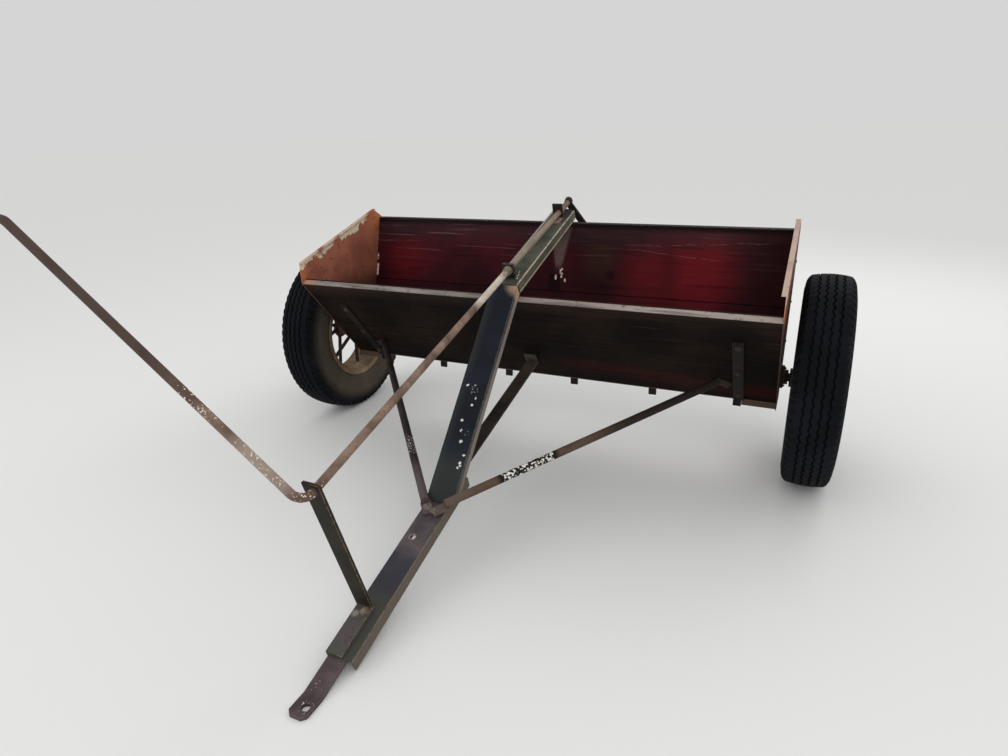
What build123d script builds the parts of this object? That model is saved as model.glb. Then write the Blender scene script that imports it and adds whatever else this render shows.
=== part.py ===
from build123d import *
import os
from math import atan2, cos, degrees, hypot, radians, sin, tan

# Two-wheeled towed lime spreader, parked with its hitch plate on the ground.
# Millimetres. The origin is on the hitch pin's axis at ground level.
# +Y runs back to the axle, +Z is up, and +X is to the right as seen from in front.
# Left and right in the names are also as seen from in front.

# Main places; the cuts run a little past what they cut
hitch_to_axle = 1975.0
wheel_gap = 48.0
cut_past = 30.0
same_angle = 0.01

# Hopper
hopper_length = 2260.0
hopper_bottom_z = 375.0
front_board_bottom_y = -96.0
front_board_slope = 51.3
front_board_height = 618.0
back_board_bottom_y = 28.0
back_board_lean = 15.9
back_board_height = 734.0
plank_thickness = 35.0
plank_split = {"front_board": 0.52, "back_board": 0.53}
end_sheet = 4.0
end_flange = 20.0
end_front_y = -488.0
end_front_z = 965.0
end_peak_ahead = 57.0
end_peak_rise = 60.0
end_skirt = 30.0
end_skirt_margin = 12.0
end_hole_gap = 6.0
end_gusset_reach = 145.0
end_gusset_thickness = 5.0
end_gusset_inset = 2.0
edge_strip_thickness = 4.0
front_strip_width = 25.0
back_strip_lip = 40.0
board_strap_from_end = 162.0
board_strap_width = 44.0
board_strap_thickness = 8.0
board_strap_reach = 470.0

# Floor, shutter and hangers
floor_thickness = 4.0
slot_count = 8
slot_pitch = 250.0
slot_length = 60.0
slot_width = 60.0
shutter_thickness = 4.0
shutter_gap = 1.5
shutter_width = 120.0
shutter_length = 2115.0
shutter_offset = 22.5
hanger_gap = 0.4
hanger_width = 30.0
hanger_thickness = 5.0
hanger_side_gap = 5.0
hanger_inner = 180.0
hanger_middle = 575.0
hanger_from_end = 168.0
hanger_lug_width = 35.0
hanger_lug_drop = 34.0
hanger_lug_inset = 2.0
lug_x = -400.0
lug_width = 60.0
lug_overhang = 62.0
lug_hole_d = 26.0

# Channel section of the gooseneck and drawbar
neck_width = 118.0
drawbar_width = 102.0
channel_flange = 46.0
channel_wall = 6.0
knee_y = -458.0
knee_z = 890.0
neck_lower_slope = 46.1
neck_upper_tail = 275.0
drawbar_rear_y = -1010.0
drawbar_rear_z = 272.0
drawbar_slope = 15.4
drawbar_length = 830.0
web_hole_d = 22.0
web_hole_x = -16.0
web_hole_from_front = 497.0

# Hitch plate
hitch_plate_thickness = 12.0
hitch_plate_rear = 240.0
hitch_plate_width = 68.0
hitch_plate_x = -10.0
hitch_tip = 38.0
hitch_hole_d = 28.0
hitch_corner = 14.0

# Braces and centre strut
brace_d = 34.0
brace_tab_width = 42.0
brace_tab_thickness = 8.0
brace_tab_length = 66.0
brace_front_from_end = 207.0
brace_front_x = 18.0
brace_lift = 3.0
brace_tab_behind = 14.0
brace_rear_from_end = 210.0
brace_overlap = 9.5
brace_end_block = 200.0
brace_rear_up = 125.0
strut_width = 58.0
strut_x = -8.0
strut_thickness = 10.0
strut_seat = 36.0
strut_rear_up = 110.0
strut_tab = 70.0

# Control rod, its bracket and the plates it turns in
rod_d = 28.0
rod_x = -15.0
rod_rear_x = 8.0
rod_low_y = -1739.0
rod_low_z = 648.0
rod_over_web = 28.0
rod_front_y = -1835.0
rod_rear_y = 328.0
rod_clearance = 0.5
rod_bend_radius = 40.0
handle_rise = 37.7
handle_length = 1240.0
grip_length = 150.0
grip_rise = 8.0
bracket_width = 62.0
bracket_x = -19.0
bracket_thickness = 10.0
bracket_foot = 190.0
bracket_over_rod = 27.0
bearing_plate_thickness = 10.0
front_plate_y = -442.0
front_plate_left = 25.0
front_plate_right = 27.0
front_plate_over_rod = 28.0
rear_plate_y = 170.0
rear_plate_left = 32.0
rear_plate_right = 20.0
rear_plate_over_rod = 44.0
plate_seat_trim = 1.0
rear_foot_length = 70.0
rear_foot_thickness = 6.0
collar_d = 38.0
collar_length = 20.0
rear_collar_length = 10.0
collar_gap = 3.0
post_width = 70.0
post_thickness = 8.0
post_length = 240.0

# Crank arm and link
crank_y = 298.0
crank_radius = 168.0
crank_angle = 57.0
crank_width = 32.0
crank_thickness = 12.0
crank_boss = 20.0
crank_pin_d = 16.0
crank_pin_head_d = 28.0
crank_pin_head = 8.0
link_d = 16.0
link_eye_d = 40.0
link_eye_thickness = 18.0
link_neck = 60.0
link_bend_radius = 24.0
link_side_gap = 2.0
pin_clearance = 0.5
hook_length = 44.0

# Axle, bearings, hubs and wheels
axle_d = 38.0
axle_overhang = 76.0
bearing_flange_d = 104.0
bearing_flange_thickness = 12.0
bearing_boss_d = 66.0
bearing_length = 30.0
hub_gap = 6.0
hub_past = 58.0
hub_d = 84.0
hub_flange_d = 118.0
hub_flange_thickness = 12.0
hub_ring_half = 48.0
drive_fit = 0.1
finger_d = 12.0
finger_radius = 44.0
finger_pitch = 125.0
finger_count = 16
finger_first = 45.0
finger_root = 9.5
tyre_radius = 468.0
tyre_width = 204.0
tyre_wall = 18.0
tread_half = 82.0
tread_crown = 7.0
tread_edge_drop = 6.0
crown_share = 0.55
crown_drop = 2.0
shoulder_inset = 4.0
shoulder_drop = 52.0
bead_inset = 4.0
bead_lift = 2.0
bead_gap = 0.3
bead_bulge_out = 6.0
bead_bulge_up = 8.0
side_lower = 4.0
lining_bead_share = 0.4
lining_bead_up = 12.0
lining_side_share = 0.8
lining_at_shoulder = 8.0
lining_at_tread = 14.0
lining_corner_drop = 16.0
lining_crown_drop = 6.0
rim_radius = 254.0
rim_flange = 18.0
rim_wall = 5.0
rim_half = 84.0
rim_drop = 26.0
rim_drop_half = 34.0
rim_lip = 8.0
rim_lip_depth = 5.0
rim_seat_lift = 1.7
rim_well_run = 14.0
rim_well_dip = 1.0
spoke_d = 20.0
spoke_count = 12
spoke_first = 8.0
spoke_dish = 0.35
spoke_overlap = 8.0
spoke_root_depth = 6.0
spoke_trim = 0.2

parts = {}
track = hopper_length + 2 * wheel_gap + tyre_width
board_strap_x = hopper_length / 2 - board_strap_from_end
brace_rear_x = hopper_length / 2 - brace_rear_from_end
hanger_places = (hanger_inner, hanger_middle, hopper_length / 2 - hanger_from_end)
knee = (knee_y, knee_z)
drawbar_rear = (drawbar_rear_y, drawbar_rear_z)


def place(name, shape):
    """Keep one finished piece under its node name, moved to the shared origin."""
    parts[name] = shape.moved(Location((0, hitch_to_axle, 0)))


def along(angle):
    """Unit direction in the side view, the angle in degrees above +Y."""
    return (cos(radians(angle)), sin(radians(angle)))


def step(point, angle, distance):
    """The side-view point that lies a distance along an angle from another."""
    direction = along(angle)
    return (point[0] + direction[0] * distance, point[1] + direction[1] * distance)


def meet(p, a, q, b):
    """Where the side-view lines through p at angle a and through q at angle b cross."""
    u = along(a)
    v = along(b)
    t = ((q[0] - p[0]) * v[1] - (q[1] - p[1]) * v[0]) / (u[0] * v[1] - u[1] * v[0])
    return (p[0] + u[0] * t, p[1] + u[1] * t)


def side_plate(points, x_from, x_to):
    """A plate between two X planes whose outline is given in the side view (Y, Z)."""
    outline = Plane.YZ * Polyline(*[(y, z) for y, z in points], close=True)
    return extrude(make_face(outline), x_to - x_from, dir=(1, 0, 0)).moved(Location((x_from, 0, 0)))


def offset_path(path, thickness):
    """A side-view path moved sideways by a thickness, with mitred corners."""
    angles = []
    for (y0, z0), (y1, z1) in zip(path, path[1:]):
        angles.append(degrees(atan2(z1 - z0, y1 - y0)))
    moved = [step(path[0], angles[0] + 90, thickness)]
    for corner, before, after in zip(path[1:-1], angles, angles[1:]):
        p = step(corner, before + 90, thickness)
        q = step(corner, after + 90, thickness)
        moved.append(p if abs(before - after) < same_angle else meet(p, before, q, after))
    moved.append(step(path[-1], angles[-1] + 90, thickness))
    return moved


def bent_bar(path, thickness, x_from, x_to):
    """A flat bar bent along a side-view path, its thickness to the left of the path."""
    return side_plate(path + offset_path(path, thickness)[::-1], x_from, x_to)


def channel(width, heel_a, heel_b, tip_b, tip_a):
    """A channel from its heel line to its flange tips, cut at both ends as the points say."""
    share = channel_wall / channel_flange
    web_b = (heel_b[0] + (tip_b[0] - heel_b[0]) * share, heel_b[1] + (tip_b[1] - heel_b[1]) * share)
    web_a = (heel_a[0] + (tip_a[0] - heel_a[0]) * share, heel_a[1] + (tip_a[1] - heel_a[1]) * share)
    half = width / 2
    body = side_plate([heel_a, heel_b, web_b, web_a], -half, half)
    for x_from in (-half, half - channel_wall):
        body += side_plate([heel_a, heel_b, tip_b, tip_a], x_from, x_from + channel_wall)
    return body


def rod_bar(start, end, diameter):
    """A round bar between two points in space."""
    axis = Vector(*end) - Vector(*start)
    return Solid.make_cylinder(diameter / 2, axis.length, Plane(origin=start, z_dir=axis))


# Side-view corners of the hopper boards, from the bottom up
front_angle = 180 - front_board_slope
back_angle = 90 - back_board_lean
front_outer_low = (front_board_bottom_y, hopper_bottom_z)
front_outer_high = step(front_outer_low, front_angle, front_board_height)
front_inner_high = step(front_outer_high, front_angle - 90, plank_thickness)
front_inner_low = (front_board_bottom_y + plank_thickness / sin(radians(front_board_slope)), hopper_bottom_z)
back_inner_low = (back_board_bottom_y, hopper_bottom_z)
back_inner_high = step(back_inner_low, back_angle, back_board_height)
back_outer_high = (back_inner_high[0] + plank_thickness / cos(radians(back_board_lean)), back_inner_high[1])
back_outer_low = (back_board_bottom_y + plank_thickness / cos(radians(back_board_lean)), hopper_bottom_z)
inner_half = hopper_length / 2 - end_sheet


def blend(a, b, share):
    """The point a share of the way from a to b in the side view."""
    return (a[0] + (b[0] - a[0]) * share, a[1] + (b[1] - a[1]) * share)


def planks():
    """Front and back boards, two planks each, between the end panels."""
    # name stem, outer low, outer high, inner low, inner high
    boards = (
        ("front_board", front_outer_low, front_outer_high, front_inner_low, front_inner_high),
        ("back_board", back_outer_low, back_outer_high, back_inner_low, back_inner_high),
    )
    for stem, outer_low, outer_high, inner_low, inner_high in boards:
        split = plank_split[stem]
        outer_mid = blend(outer_low, outer_high, split)
        inner_mid = blend(inner_low, inner_high, split)
        lower = side_plate([outer_low, outer_mid, inner_mid, inner_low], -inner_half, inner_half)
        upper = side_plate([outer_mid, outer_high, inner_high, inner_mid], -inner_half, inner_half)
        place(stem + "_lower", lower)
        place(stem + "_upper", upper)


def edge_strips():
    """Flat strip on the front board's top edge and a lipped strip on the back board's."""
    top_angle = front_angle - 90
    front = [front_outer_high, step(front_outer_high, top_angle, front_strip_width)]
    front += [step(p, front_angle, edge_strip_thickness) for p in front[::-1]]
    place("front_edge_strip", side_plate(front, -inner_half, inner_half))
    lip = step(back_outer_high, back_angle + 180, back_strip_lip)
    path = [lip, back_outer_high, back_inner_high]
    outside = offset_path(path, -edge_strip_thickness)
    place("back_edge_strip", side_plate(path + outside[::-1], -inner_half, inner_half))


skirt_low = hopper_bottom_z - end_skirt


def end_outline():
    """Outline of an end panel: sloping top, upright front corner, skirt below the floor."""
    peak = (back_inner_high[0] - end_peak_ahead, back_inner_high[1] + end_peak_rise)
    skirt_front = (front_outer_low[0] - end_skirt_margin, skirt_low)
    skirt_rear = (back_outer_low[0] + end_skirt_margin, skirt_low)
    front_high = (end_front_y, end_front_z)
    front_low = (end_front_y, front_outer_high[1])
    low_edge = [back_outer_low, skirt_rear, skirt_front, front_outer_low]
    return [front_high, peak, back_outer_high, *low_edge, front_low]


def end_panels():
    """Sheet-steel hopper ends with an inward flange on top and a gusset under the floor's front."""
    outline = end_outline()
    gusset_y = front_outer_low[0] + end_gusset_inset
    floor_low = hopper_bottom_z - floor_thickness
    gusset = [
        (gusset_y, skirt_low),
        (gusset_y + end_gusset_thickness, skirt_low),
        (gusset_y + end_gusset_thickness, floor_low),
        (gusset_y, floor_low),
    ]
    for side, name in ((-1, "end_panel_left"), (1, "end_panel_right")):
        outer = side * hopper_length / 2
        sheet_in = outer - side * end_sheet
        sheet = side_plate(outline, min(outer, sheet_in), max(outer, sheet_in))
        inner = outer - side * end_flange
        flange = bent_bar([outline[1], outline[0]], end_sheet, min(outer, inner), max(outer, inner))
        reach = side * (inner_half - end_gusset_reach)
        sheet += side_plate(gusset, min(outer, reach), max(outer, reach))
        hole_from = (outer - side * cut_past, 0, tyre_radius)
        hole_to = (outer + side * cut_past, 0, tyre_radius)
        axle_hole = rod_bar(hole_from, hole_to, axle_d + end_hole_gap)
        place(name, sheet + flange - axle_hole)


def board_straps():
    """Upright straps on the front board's outside, near its ends."""
    low = front_outer_low
    high = step(low, front_angle, board_strap_reach)
    for side, name in ((-1, "board_strap_left"), (1, "board_strap_right")):
        centre = side * board_strap_x
        half = board_strap_width / 2
        place(name, bent_bar([low, high], board_strap_thickness, centre - half, centre + half))


def slot_cuts(height):
    """One cutter per discharge slot, in a row along the hopper."""
    middle = (front_inner_low[0] + back_inner_low[0]) / 2
    cuts = []
    for index in range(slot_count):
        x = (index - (slot_count - 1) / 2) * slot_pitch
        cuts.append(Box(slot_length, slot_width, 2 * cut_past).moved(Location((x, middle, height))))
    return cuts


def floor_and_shutter():
    """Perforated floor, the perforated shutter that slides below it, and its hangers."""
    floor_low = hopper_bottom_z - floor_thickness
    width = back_outer_low[0] - front_outer_low[0]
    middle = (back_outer_low[0] + front_outer_low[0]) / 2
    floor = Box(inner_half * 2, width, floor_thickness)
    floor = floor.moved(Location((0, middle, floor_low + floor_thickness / 2)))
    for cut in slot_cuts(floor_low):
        floor -= cut
    place("hopper_floor", floor)

    slot_middle = (front_inner_low[0] + back_inner_low[0]) / 2
    shutter_top = floor_low - shutter_gap
    shutter_z = shutter_top - shutter_thickness / 2
    plate = Box(shutter_length, shutter_width, shutter_thickness)
    plate = plate.moved(Location((shutter_offset, slot_middle, shutter_z)))
    for cut in slot_cuts(shutter_z):
        plate -= cut
    place("shutter_plate", plate)

    lug_y = lug_pivot()[1]
    seat = slot_middle + shutter_width / 2
    lug_low = shutter_top - shutter_thickness
    lug = Box(lug_width, lug_y + lug_width / 2 - seat, shutter_thickness)
    lug = lug.moved(Location((lug_x, (lug_y + lug_width / 2 + seat) / 2, lug_low + shutter_thickness / 2)))
    lug -= rod_bar((lug_x, lug_y, lug_low - cut_past), (lug_x, lug_y, lug_low + cut_past), lug_hole_d)
    place("shutter_lug", lug)

    lip = lug_low - hanger_gap
    reach = shutter_width / 2 + hanger_side_gap
    path = [
        (slot_middle - reach, floor_low),
        (slot_middle - reach, lip),
        (slot_middle + reach, lip),
        (slot_middle + reach, floor_low),
    ]
    outline = path + offset_path(path, -hanger_thickness)[::-1]
    lug_front = front_outer_low[0] + hanger_lug_inset
    leg_front = slot_middle - reach - hanger_thickness
    front_lug = [
        (lug_front, floor_low),
        (lug_front, floor_low - hanger_lug_drop),
        (leg_front, floor_low - hanger_lug_drop),
        (leg_front, floor_low),
    ]
    hangers = []
    for place_x in hanger_places:
        for x in (-place_x, place_x):
            strap = side_plate(outline, x - hanger_width / 2, x + hanger_width / 2)
            hangers.append(strap + side_plate(front_lug, x - hanger_lug_width / 2, x + hanger_lug_width / 2))
    place("shutter_hangers", Compound(children=hangers))


# Gooseneck and drawbar lines in the side view
back_strip_top = (back_inner_high[0], back_inner_high[1] + edge_strip_thickness)
neck_upper_slope = degrees(atan2(back_strip_top[1] - knee[1], back_strip_top[0] - knee[0]))
drawbar_front = step(drawbar_rear, drawbar_slope + 180, drawbar_length)


def on_drawbar(distance):
    """The point on the drawbar's web, a distance back from its front end."""
    return step(drawbar_front, drawbar_slope, distance)


# A point on the upper gooseneck's web surface, and one on its web's underside
neck_top = step(knee, neck_upper_slope + 90, channel_flange)
web_under = step(knee, neck_upper_slope + 90, channel_flange - channel_wall)


def neck_under(y):
    """Height of the upper gooseneck's flange edges at a place along the machine."""
    return knee[1] + (y - knee[0]) * tan(radians(neck_upper_slope))


def frame_channels():
    """Gooseneck in two mitred lengths of channel, and the drawbar at ground level."""
    lower_top = step(knee, neck_lower_slope + 90, channel_flange)
    knee_top = meet(neck_top, neck_upper_slope, lower_top, neck_lower_slope)
    tail = (neck_upper_tail, neck_under(neck_upper_tail))
    tail_top = step(tail, neck_upper_slope + 90, channel_flange)
    place("gooseneck_upper", channel(neck_width, knee_top, tail_top, tail, knee))

    foot = meet(knee, neck_lower_slope, drawbar_rear, drawbar_slope)
    foot_top = meet(lower_top, neck_lower_slope, drawbar_rear, drawbar_slope)
    place("gooseneck_lower", channel(neck_width, foot_top, knee_top, knee, foot))

    rear_tip = step(drawbar_rear, drawbar_slope - 90, channel_flange)
    front_tip = step(drawbar_front, drawbar_slope - 90, channel_flange)
    bar = channel(drawbar_width, drawbar_rear, drawbar_front, front_tip, rear_tip)
    spot = on_drawbar(web_hole_from_front)
    hole_from = step(spot, drawbar_slope - 90, cut_past)
    hole_to = step(spot, drawbar_slope + 90, cut_past)
    place("drawbar", bar - rod_bar((web_hole_x, *hole_from), (web_hole_x, *hole_to), web_hole_d))


def hitch_plate():
    """Plate under the drawbar's web, bent level at its eye, which lies on the ground."""
    under = step(drawbar_front, drawbar_slope - 90, channel_wall)
    rear = step(under, drawbar_slope, hitch_plate_rear)
    low_rear = step(rear, drawbar_slope - 90, hitch_plate_thickness)
    ground = meet(low_rear, drawbar_slope, (0, 0), 0)
    tip = (-hitch_to_axle - hitch_tip, 0)
    left = hitch_plate_x - hitch_plate_width / 2
    right = hitch_plate_x + hitch_plate_width / 2
    bar = bent_bar([tip, ground, low_rear], hitch_plate_thickness, left, right)
    corner = hitch_corner
    plan = [
        (left, rear[0] + cut_past),
        (left, tip[0] + corner),
        (left + corner, tip[0]),
        (right - corner, tip[0]),
        (right, tip[0] + corner),
        (right, rear[0] + cut_past),
    ]
    outline = extrude(make_face(Polyline(*plan, close=True)), rear[1] + 2 * cut_past)
    outline = outline.moved(Location((0, 0, -cut_past)))
    hole = rod_bar((0, -hitch_to_axle, -cut_past), (0, -hitch_to_axle, cut_past), hitch_hole_d)
    place("hitch_plate", (bar & outline) - hole)


# Control rod: from its place in the bracket to a set height over the web at its rear plate
rod_low = (rod_low_y, rod_low_z)
rod_run = rear_plate_y - rod_low_y
web_at_rear_plate = neck_under(rear_plate_y) + channel_flange / cos(radians(neck_upper_slope))
rod_slope = degrees(atan2(web_at_rear_plate + rod_over_web - rod_low_z, rod_run))
rod_drift = (rod_rear_x - rod_x) / rod_run
rod_direction = (rod_drift, 1, tan(radians(rod_slope)))


def rod_point(y):
    """The point on the rod's axis at a place along the machine."""
    run = y - rod_low[0]
    return (rod_x + run * rod_drift, y, rod_low[1] + run * tan(radians(rod_slope)))


def rod_plane(y):
    """Plane square to the rod, local X across the machine and local Y up."""
    return Plane(origin=rod_point(y), x_dir=(-1, rod_drift, 0), z_dir=rod_direction)


def across_rod(plane, points, depth):
    """A plate square to the rod; the points are (right of the rod, above the rod)."""
    outline = make_face(Polyline(*[(-x, y) for x, y in points], close=True))
    return extrude(plane * outline, depth)


def rod_bracket():
    """Flat bar bent up from the drawbar; the rod turns in a hole near its top."""
    fold = on_drawbar(bracket_foot)
    upright = drawbar_slope + 90
    crossing = meet(fold, upright, rod_low, rod_slope)
    top = step(crossing, upright, bracket_over_rod)
    start = drawbar_front
    x_from = bracket_x - bracket_width / 2
    bar = bent_bar([start, fold, top], bracket_thickness, x_from, x_from + bracket_width)
    front = rod_point(crossing[0] - cut_past)
    back = rod_point(crossing[0] + cut_past)
    place("rod_bracket", bar - rod_bar(front, back, rod_d + 2 * rod_clearance))


def web_below_rod(y):
    """Distance square to the rod from its axis down to the gooseneck's web."""
    axis = rod_point(y)
    seat = meet((axis[1], axis[2]), rod_slope + 90, neck_top, neck_upper_slope)
    return hypot(seat[0] - axis[1], seat[1] - axis[2])


def below_web():
    """A block right under the upper gooseneck's web surface."""
    back = step(neck_top, neck_upper_slope, rod_run)
    front = step(neck_top, neck_upper_slope + 180, rod_run)
    return bent_bar([back, front], channel_flange, -neck_width, neck_width)


def rod_plates():
    """The two plates on the gooseneck that the rod turns in."""
    # name, place along the machine, reach left and right of the rod, top above the rod
    plates = (
        ("front_rod_plate", front_plate_y, front_plate_left, front_plate_right, front_plate_over_rod),
        ("rear_rod_plate", rear_plate_y, rear_plate_left, rear_plate_right, rear_plate_over_rod),
    )
    for name, y, left, right, top in plates:
        low = -web_below_rod(y + bearing_plate_thickness) - plate_seat_trim
        outline = [(-left, low), (right, low), (right, top), (-left, top)]
        plate = across_rod(rod_plane(y), outline, bearing_plate_thickness) - below_web()
        if name == "rear_rod_plate":
            plate += rear_foot()
        bore = rod_bar(rod_point(y - cut_past), rod_point(y + cut_past), rod_d + 2 * rod_clearance)
        place(name, plate - bore)


def rear_foot():
    """Foot in front of the rear plate, flat on the gooseneck's web."""
    face = meet(rod_point(rear_plate_y)[1:], rod_slope + 90, neck_top, neck_upper_slope)
    heel = step(face, neck_upper_slope, bearing_plate_thickness / 2)
    toe = step(face, neck_upper_slope + 180, rear_foot_length)
    left = rod_rear_x - rear_plate_left
    return bent_bar([toe, heel], rear_foot_thickness, left, rod_rear_x + rear_plate_right)


def gooseneck_post():
    """Flat bar up the back board's outside that carries the gooseneck's tail."""
    face_low = step(back_outer_high, back_angle + 180, post_length)
    off = edge_strip_thickness / cos(radians(back_board_lean))
    low = (face_low[0] + off, face_low[1])
    high = meet(low, back_angle, web_under, neck_upper_slope)
    outer_low = step(low, back_angle - 90, post_thickness)
    outer_high = meet(outer_low, back_angle, web_under, neck_upper_slope)
    outline = [low, high, outer_high, outer_low]
    place("gooseneck_post", side_plate(outline, -post_width / 2, post_width / 2))


def flat_tab(seat, heading):
    """A brace's flattened end on a seat plane, reaching along its heading."""
    middle = brace_tab_length / 2 - brace_tab_behind
    tab = Box(brace_tab_length, brace_tab_width, brace_tab_thickness)
    tab = tab.moved(Location((middle, 0, brace_tab_thickness / 2)))
    return seat.location * Rotation(0, 0, degrees(heading)) * tab


def under_seat(seat):
    """What lies below a seat plane near a brace's end."""
    block = Box(brace_end_block, brace_end_block, brace_end_block)
    return seat.location * block.moved(Location((0, 0, -brace_end_block / 2)))


def braces():
    """Round side braces from the drawbar to the front board, with flat ends."""
    front_seat = on_drawbar(drawbar_length - brace_front_from_end)
    high = step(front_outer_low, front_angle, brace_rear_up)
    reach = brace_tab_length - brace_tab_behind - brace_overlap
    # side, node, tabs already on the drawbar below this one
    for side, name, layer in ((-1, "brace_left", 0), (1, "brace_right", 1)):
        low = step(front_seat, drawbar_slope + 90, layer * brace_tab_thickness)
        start = Vector(side * brace_front_x, low[0], low[1])
        end = Vector(side * brace_rear_x, high[0], high[1])
        front_plane = Plane(origin=start, x_dir=(1, 0, 0), z_dir=(0, *along(drawbar_slope + 90)))
        rear_plane = Plane(origin=end, x_dir=(1, 0, 0), z_dir=(0, *along(front_angle + 90)))
        # seat plane, direction of the bar, height of the bar's end above the seat
        ends = (
            (front_plane, end - start, brace_d / 2 + brace_lift),
            (rear_plane, start - end, brace_tab_thickness),
        )
        necks = []
        tabs = []
        for seat, run, height in ends:
            heading = atan2(run.dot(seat.y_dir), run.dot(seat.x_dir))
            necks.append(seat.from_local_coords((reach * cos(heading), reach * sin(heading), height)))
            tabs.append(flat_tab(seat, heading))
        bar = rod_bar(tuple(necks[0]), tuple(necks[1]), brace_d)
        place(name, (bar - under_seat(front_plane) - under_seat(rear_plane)) + tabs[0] + tabs[1])


def centre_strut():
    """Flat bar from the drawbar's rear end up to the middle of the front board."""
    seat_front = step(drawbar_rear, drawbar_slope + 180, strut_seat)
    high = step(front_outer_low, front_angle, strut_rear_up)
    tab = step(high, front_angle, strut_tab)
    left = strut_x - strut_width / 2
    right = strut_x + strut_width / 2
    bar = bent_bar([seat_front, drawbar_rear, high], strut_thickness, left, right)
    foot = bent_bar([high, tab], strut_thickness, left, right)
    board = [front_outer_low, front_outer_high, front_inner_high, front_inner_low]
    place("centre_strut", (bar + foot) - side_plate(board, -strut_width, strut_width))


def control_rod():
    """Long rod, bend, handle and grip as one bent pipe."""
    rear = Vector(*rod_point(rod_rear_y))
    corner = Vector(*rod_point(rod_front_y))
    handle_end = corner + Vector(-cos(radians(handle_rise)), 0, sin(radians(handle_rise))) * handle_length
    grip_end = handle_end + Vector(-cos(radians(grip_rise)), 0, sin(radians(grip_rise))) * grip_length
    path = FilletPolyline(rear, corner, handle_end, grip_end, radius=rod_bend_radius)
    section = Plane(origin=rear, z_dir=corner - rear) * Circle(rod_d / 2)
    place("control_rod", sweep(section, path=path))


def on_rod(y, right, above):
    """A point given by its place along the rod and its offsets square to it."""
    return tuple(rod_plane(y).from_local_coords((-right, above, 0)))


link_y = crank_y + crank_thickness + link_side_gap
eye_end_y = link_y + link_eye_thickness


def crank_pivot(y):
    """Centre of the crank pin, at a place along the rod."""
    return on_rod(y, crank_radius * cos(radians(crank_angle)), -crank_radius * sin(radians(crank_angle)))


def collar_rings():
    """Set collars that keep the rod from sliding through its plates."""
    # place along the machine, length
    collars = (
        (front_plate_y - collar_length, collar_length),
        (rear_plate_y + bearing_plate_thickness + collar_gap, rear_collar_length),
    )
    rings = []
    for y, length in collars:
        ring = rod_bar(rod_point(y), rod_point(y + length), collar_d)
        rings.append(ring - rod_bar(rod_point(y - cut_past), rod_point(y + length + cut_past), rod_d))
    place("rod_collars", Compound(children=rings))


def crank_arm():
    """Flat arm on the rod's rear end with round ends, and the pin it carries."""
    pivot = crank_pivot(crank_y)
    plane = rod_plane(crank_y)
    slot = SlotCenterToCenter(crank_radius, crank_width)
    half = crank_radius / 2
    middle = Location((-half * cos(radians(crank_angle)), -half * sin(radians(crank_angle)), 0))
    blank = extrude(plane * (middle * (Rotation(0, 0, crank_angle) * slot)), crank_thickness)
    boss = rod_bar(rod_point(crank_y), rod_point(crank_y + crank_boss), collar_d)
    pin_end = crank_pivot(eye_end_y + link_side_gap + crank_pin_head)
    arm = blank + boss - rod_bar(rod_point(crank_y - cut_past), rod_point(crank_y + 2 * cut_past), rod_d)
    place("crank_arm", arm - rod_bar(pivot, pin_end, crank_pin_d))
    head = crank_pivot(eye_end_y + link_side_gap)
    place("crank_pin", rod_bar(pivot, pin_end, crank_pin_d) + rod_bar(head, pin_end, crank_pin_head_d))


def lug_pivot():
    """Centre of the hole in the shutter's lug."""
    middle = (front_inner_low[0] + back_inner_low[0]) / 2
    return (lug_x, middle + shutter_width / 2 + lug_overhang, hopper_bottom_z - floor_thickness - shutter_gap)


def link_rod():
    """Round link with an eye on the crank pin and a hooked end in the shutter's lug."""
    eye_from = Vector(*crank_pivot(link_y))
    eye_to = Vector(*crank_pivot(eye_end_y))
    middle = (eye_from + eye_to) * 0.5
    lug = Vector(*lug_pivot())
    hook_top = lug + Vector(0, 0, hook_length / 2)
    hook_end = lug - Vector(0, 0, hook_length / 2)
    pin_axis = Vector(*rod_direction).normalized()
    run = hook_top - middle
    run = (run - pin_axis * run.dot(pin_axis)).normalized()
    ring_middle = (link_eye_d / 2 + crank_pin_d / 2) / 2
    start = middle + run * ring_middle
    path = FilletPolyline(start, middle + run * link_neck, hook_top, hook_end, radius=link_bend_radius)
    body = sweep(Plane(origin=start, z_dir=run) * Circle(link_d / 2), path=path)
    body += rod_bar(tuple(eye_from), tuple(eye_to), link_eye_d)
    bore_d = crank_pin_d + 2 * pin_clearance
    bore = rod_bar(crank_pivot(link_y - cut_past), crank_pivot(eye_end_y + cut_past), bore_d)
    place("link_rod", body - bore)


def axle_parts():
    """Through axle with its agitator fingers, and the flanged bearings on the end panels."""
    z = tyre_radius
    end = track / 2 + axle_overhang
    place("axle_shaft", rod_bar((-end, 0, z), (end, 0, z), axle_d))
    fingers = []
    for index in range(finger_count):
        x = (index - (finger_count - 1) / 2) * finger_pitch
        u = along(90.0 * (index % 2) + finger_first)
        for sign in (-1, 1):
            tip = (x, sign * u[0] * finger_radius, z + sign * u[1] * finger_radius)
            base = (x, sign * u[0] * finger_root, z + sign * u[1] * finger_root)
            bar = rod_bar((x - cut_past, 0, z), (x + cut_past, 0, z), axle_d)
            fingers.append(rod_bar(base, tip, finger_d) - bar)
    place("agitator_fingers", Compound(children=fingers))
    for side, name in ((-1, "axle_bearing_left"), (1, "axle_bearing_right")):
        face = side * hopper_length / 2
        flange_out = face + side * bearing_flange_thickness
        boss_out = face + side * bearing_length
        housing = rod_bar((face, 0, z), (flange_out, 0, z), bearing_flange_d)
        housing += rod_bar((face, 0, z), (boss_out, 0, z), bearing_boss_d)
        bore_from = (face - side * cut_past, 0, z)
        bore_to = (boss_out + side * cut_past, 0, z)
        place(name, housing - rod_bar(bore_from, bore_to, axle_d + 2 * rod_clearance))


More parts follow.
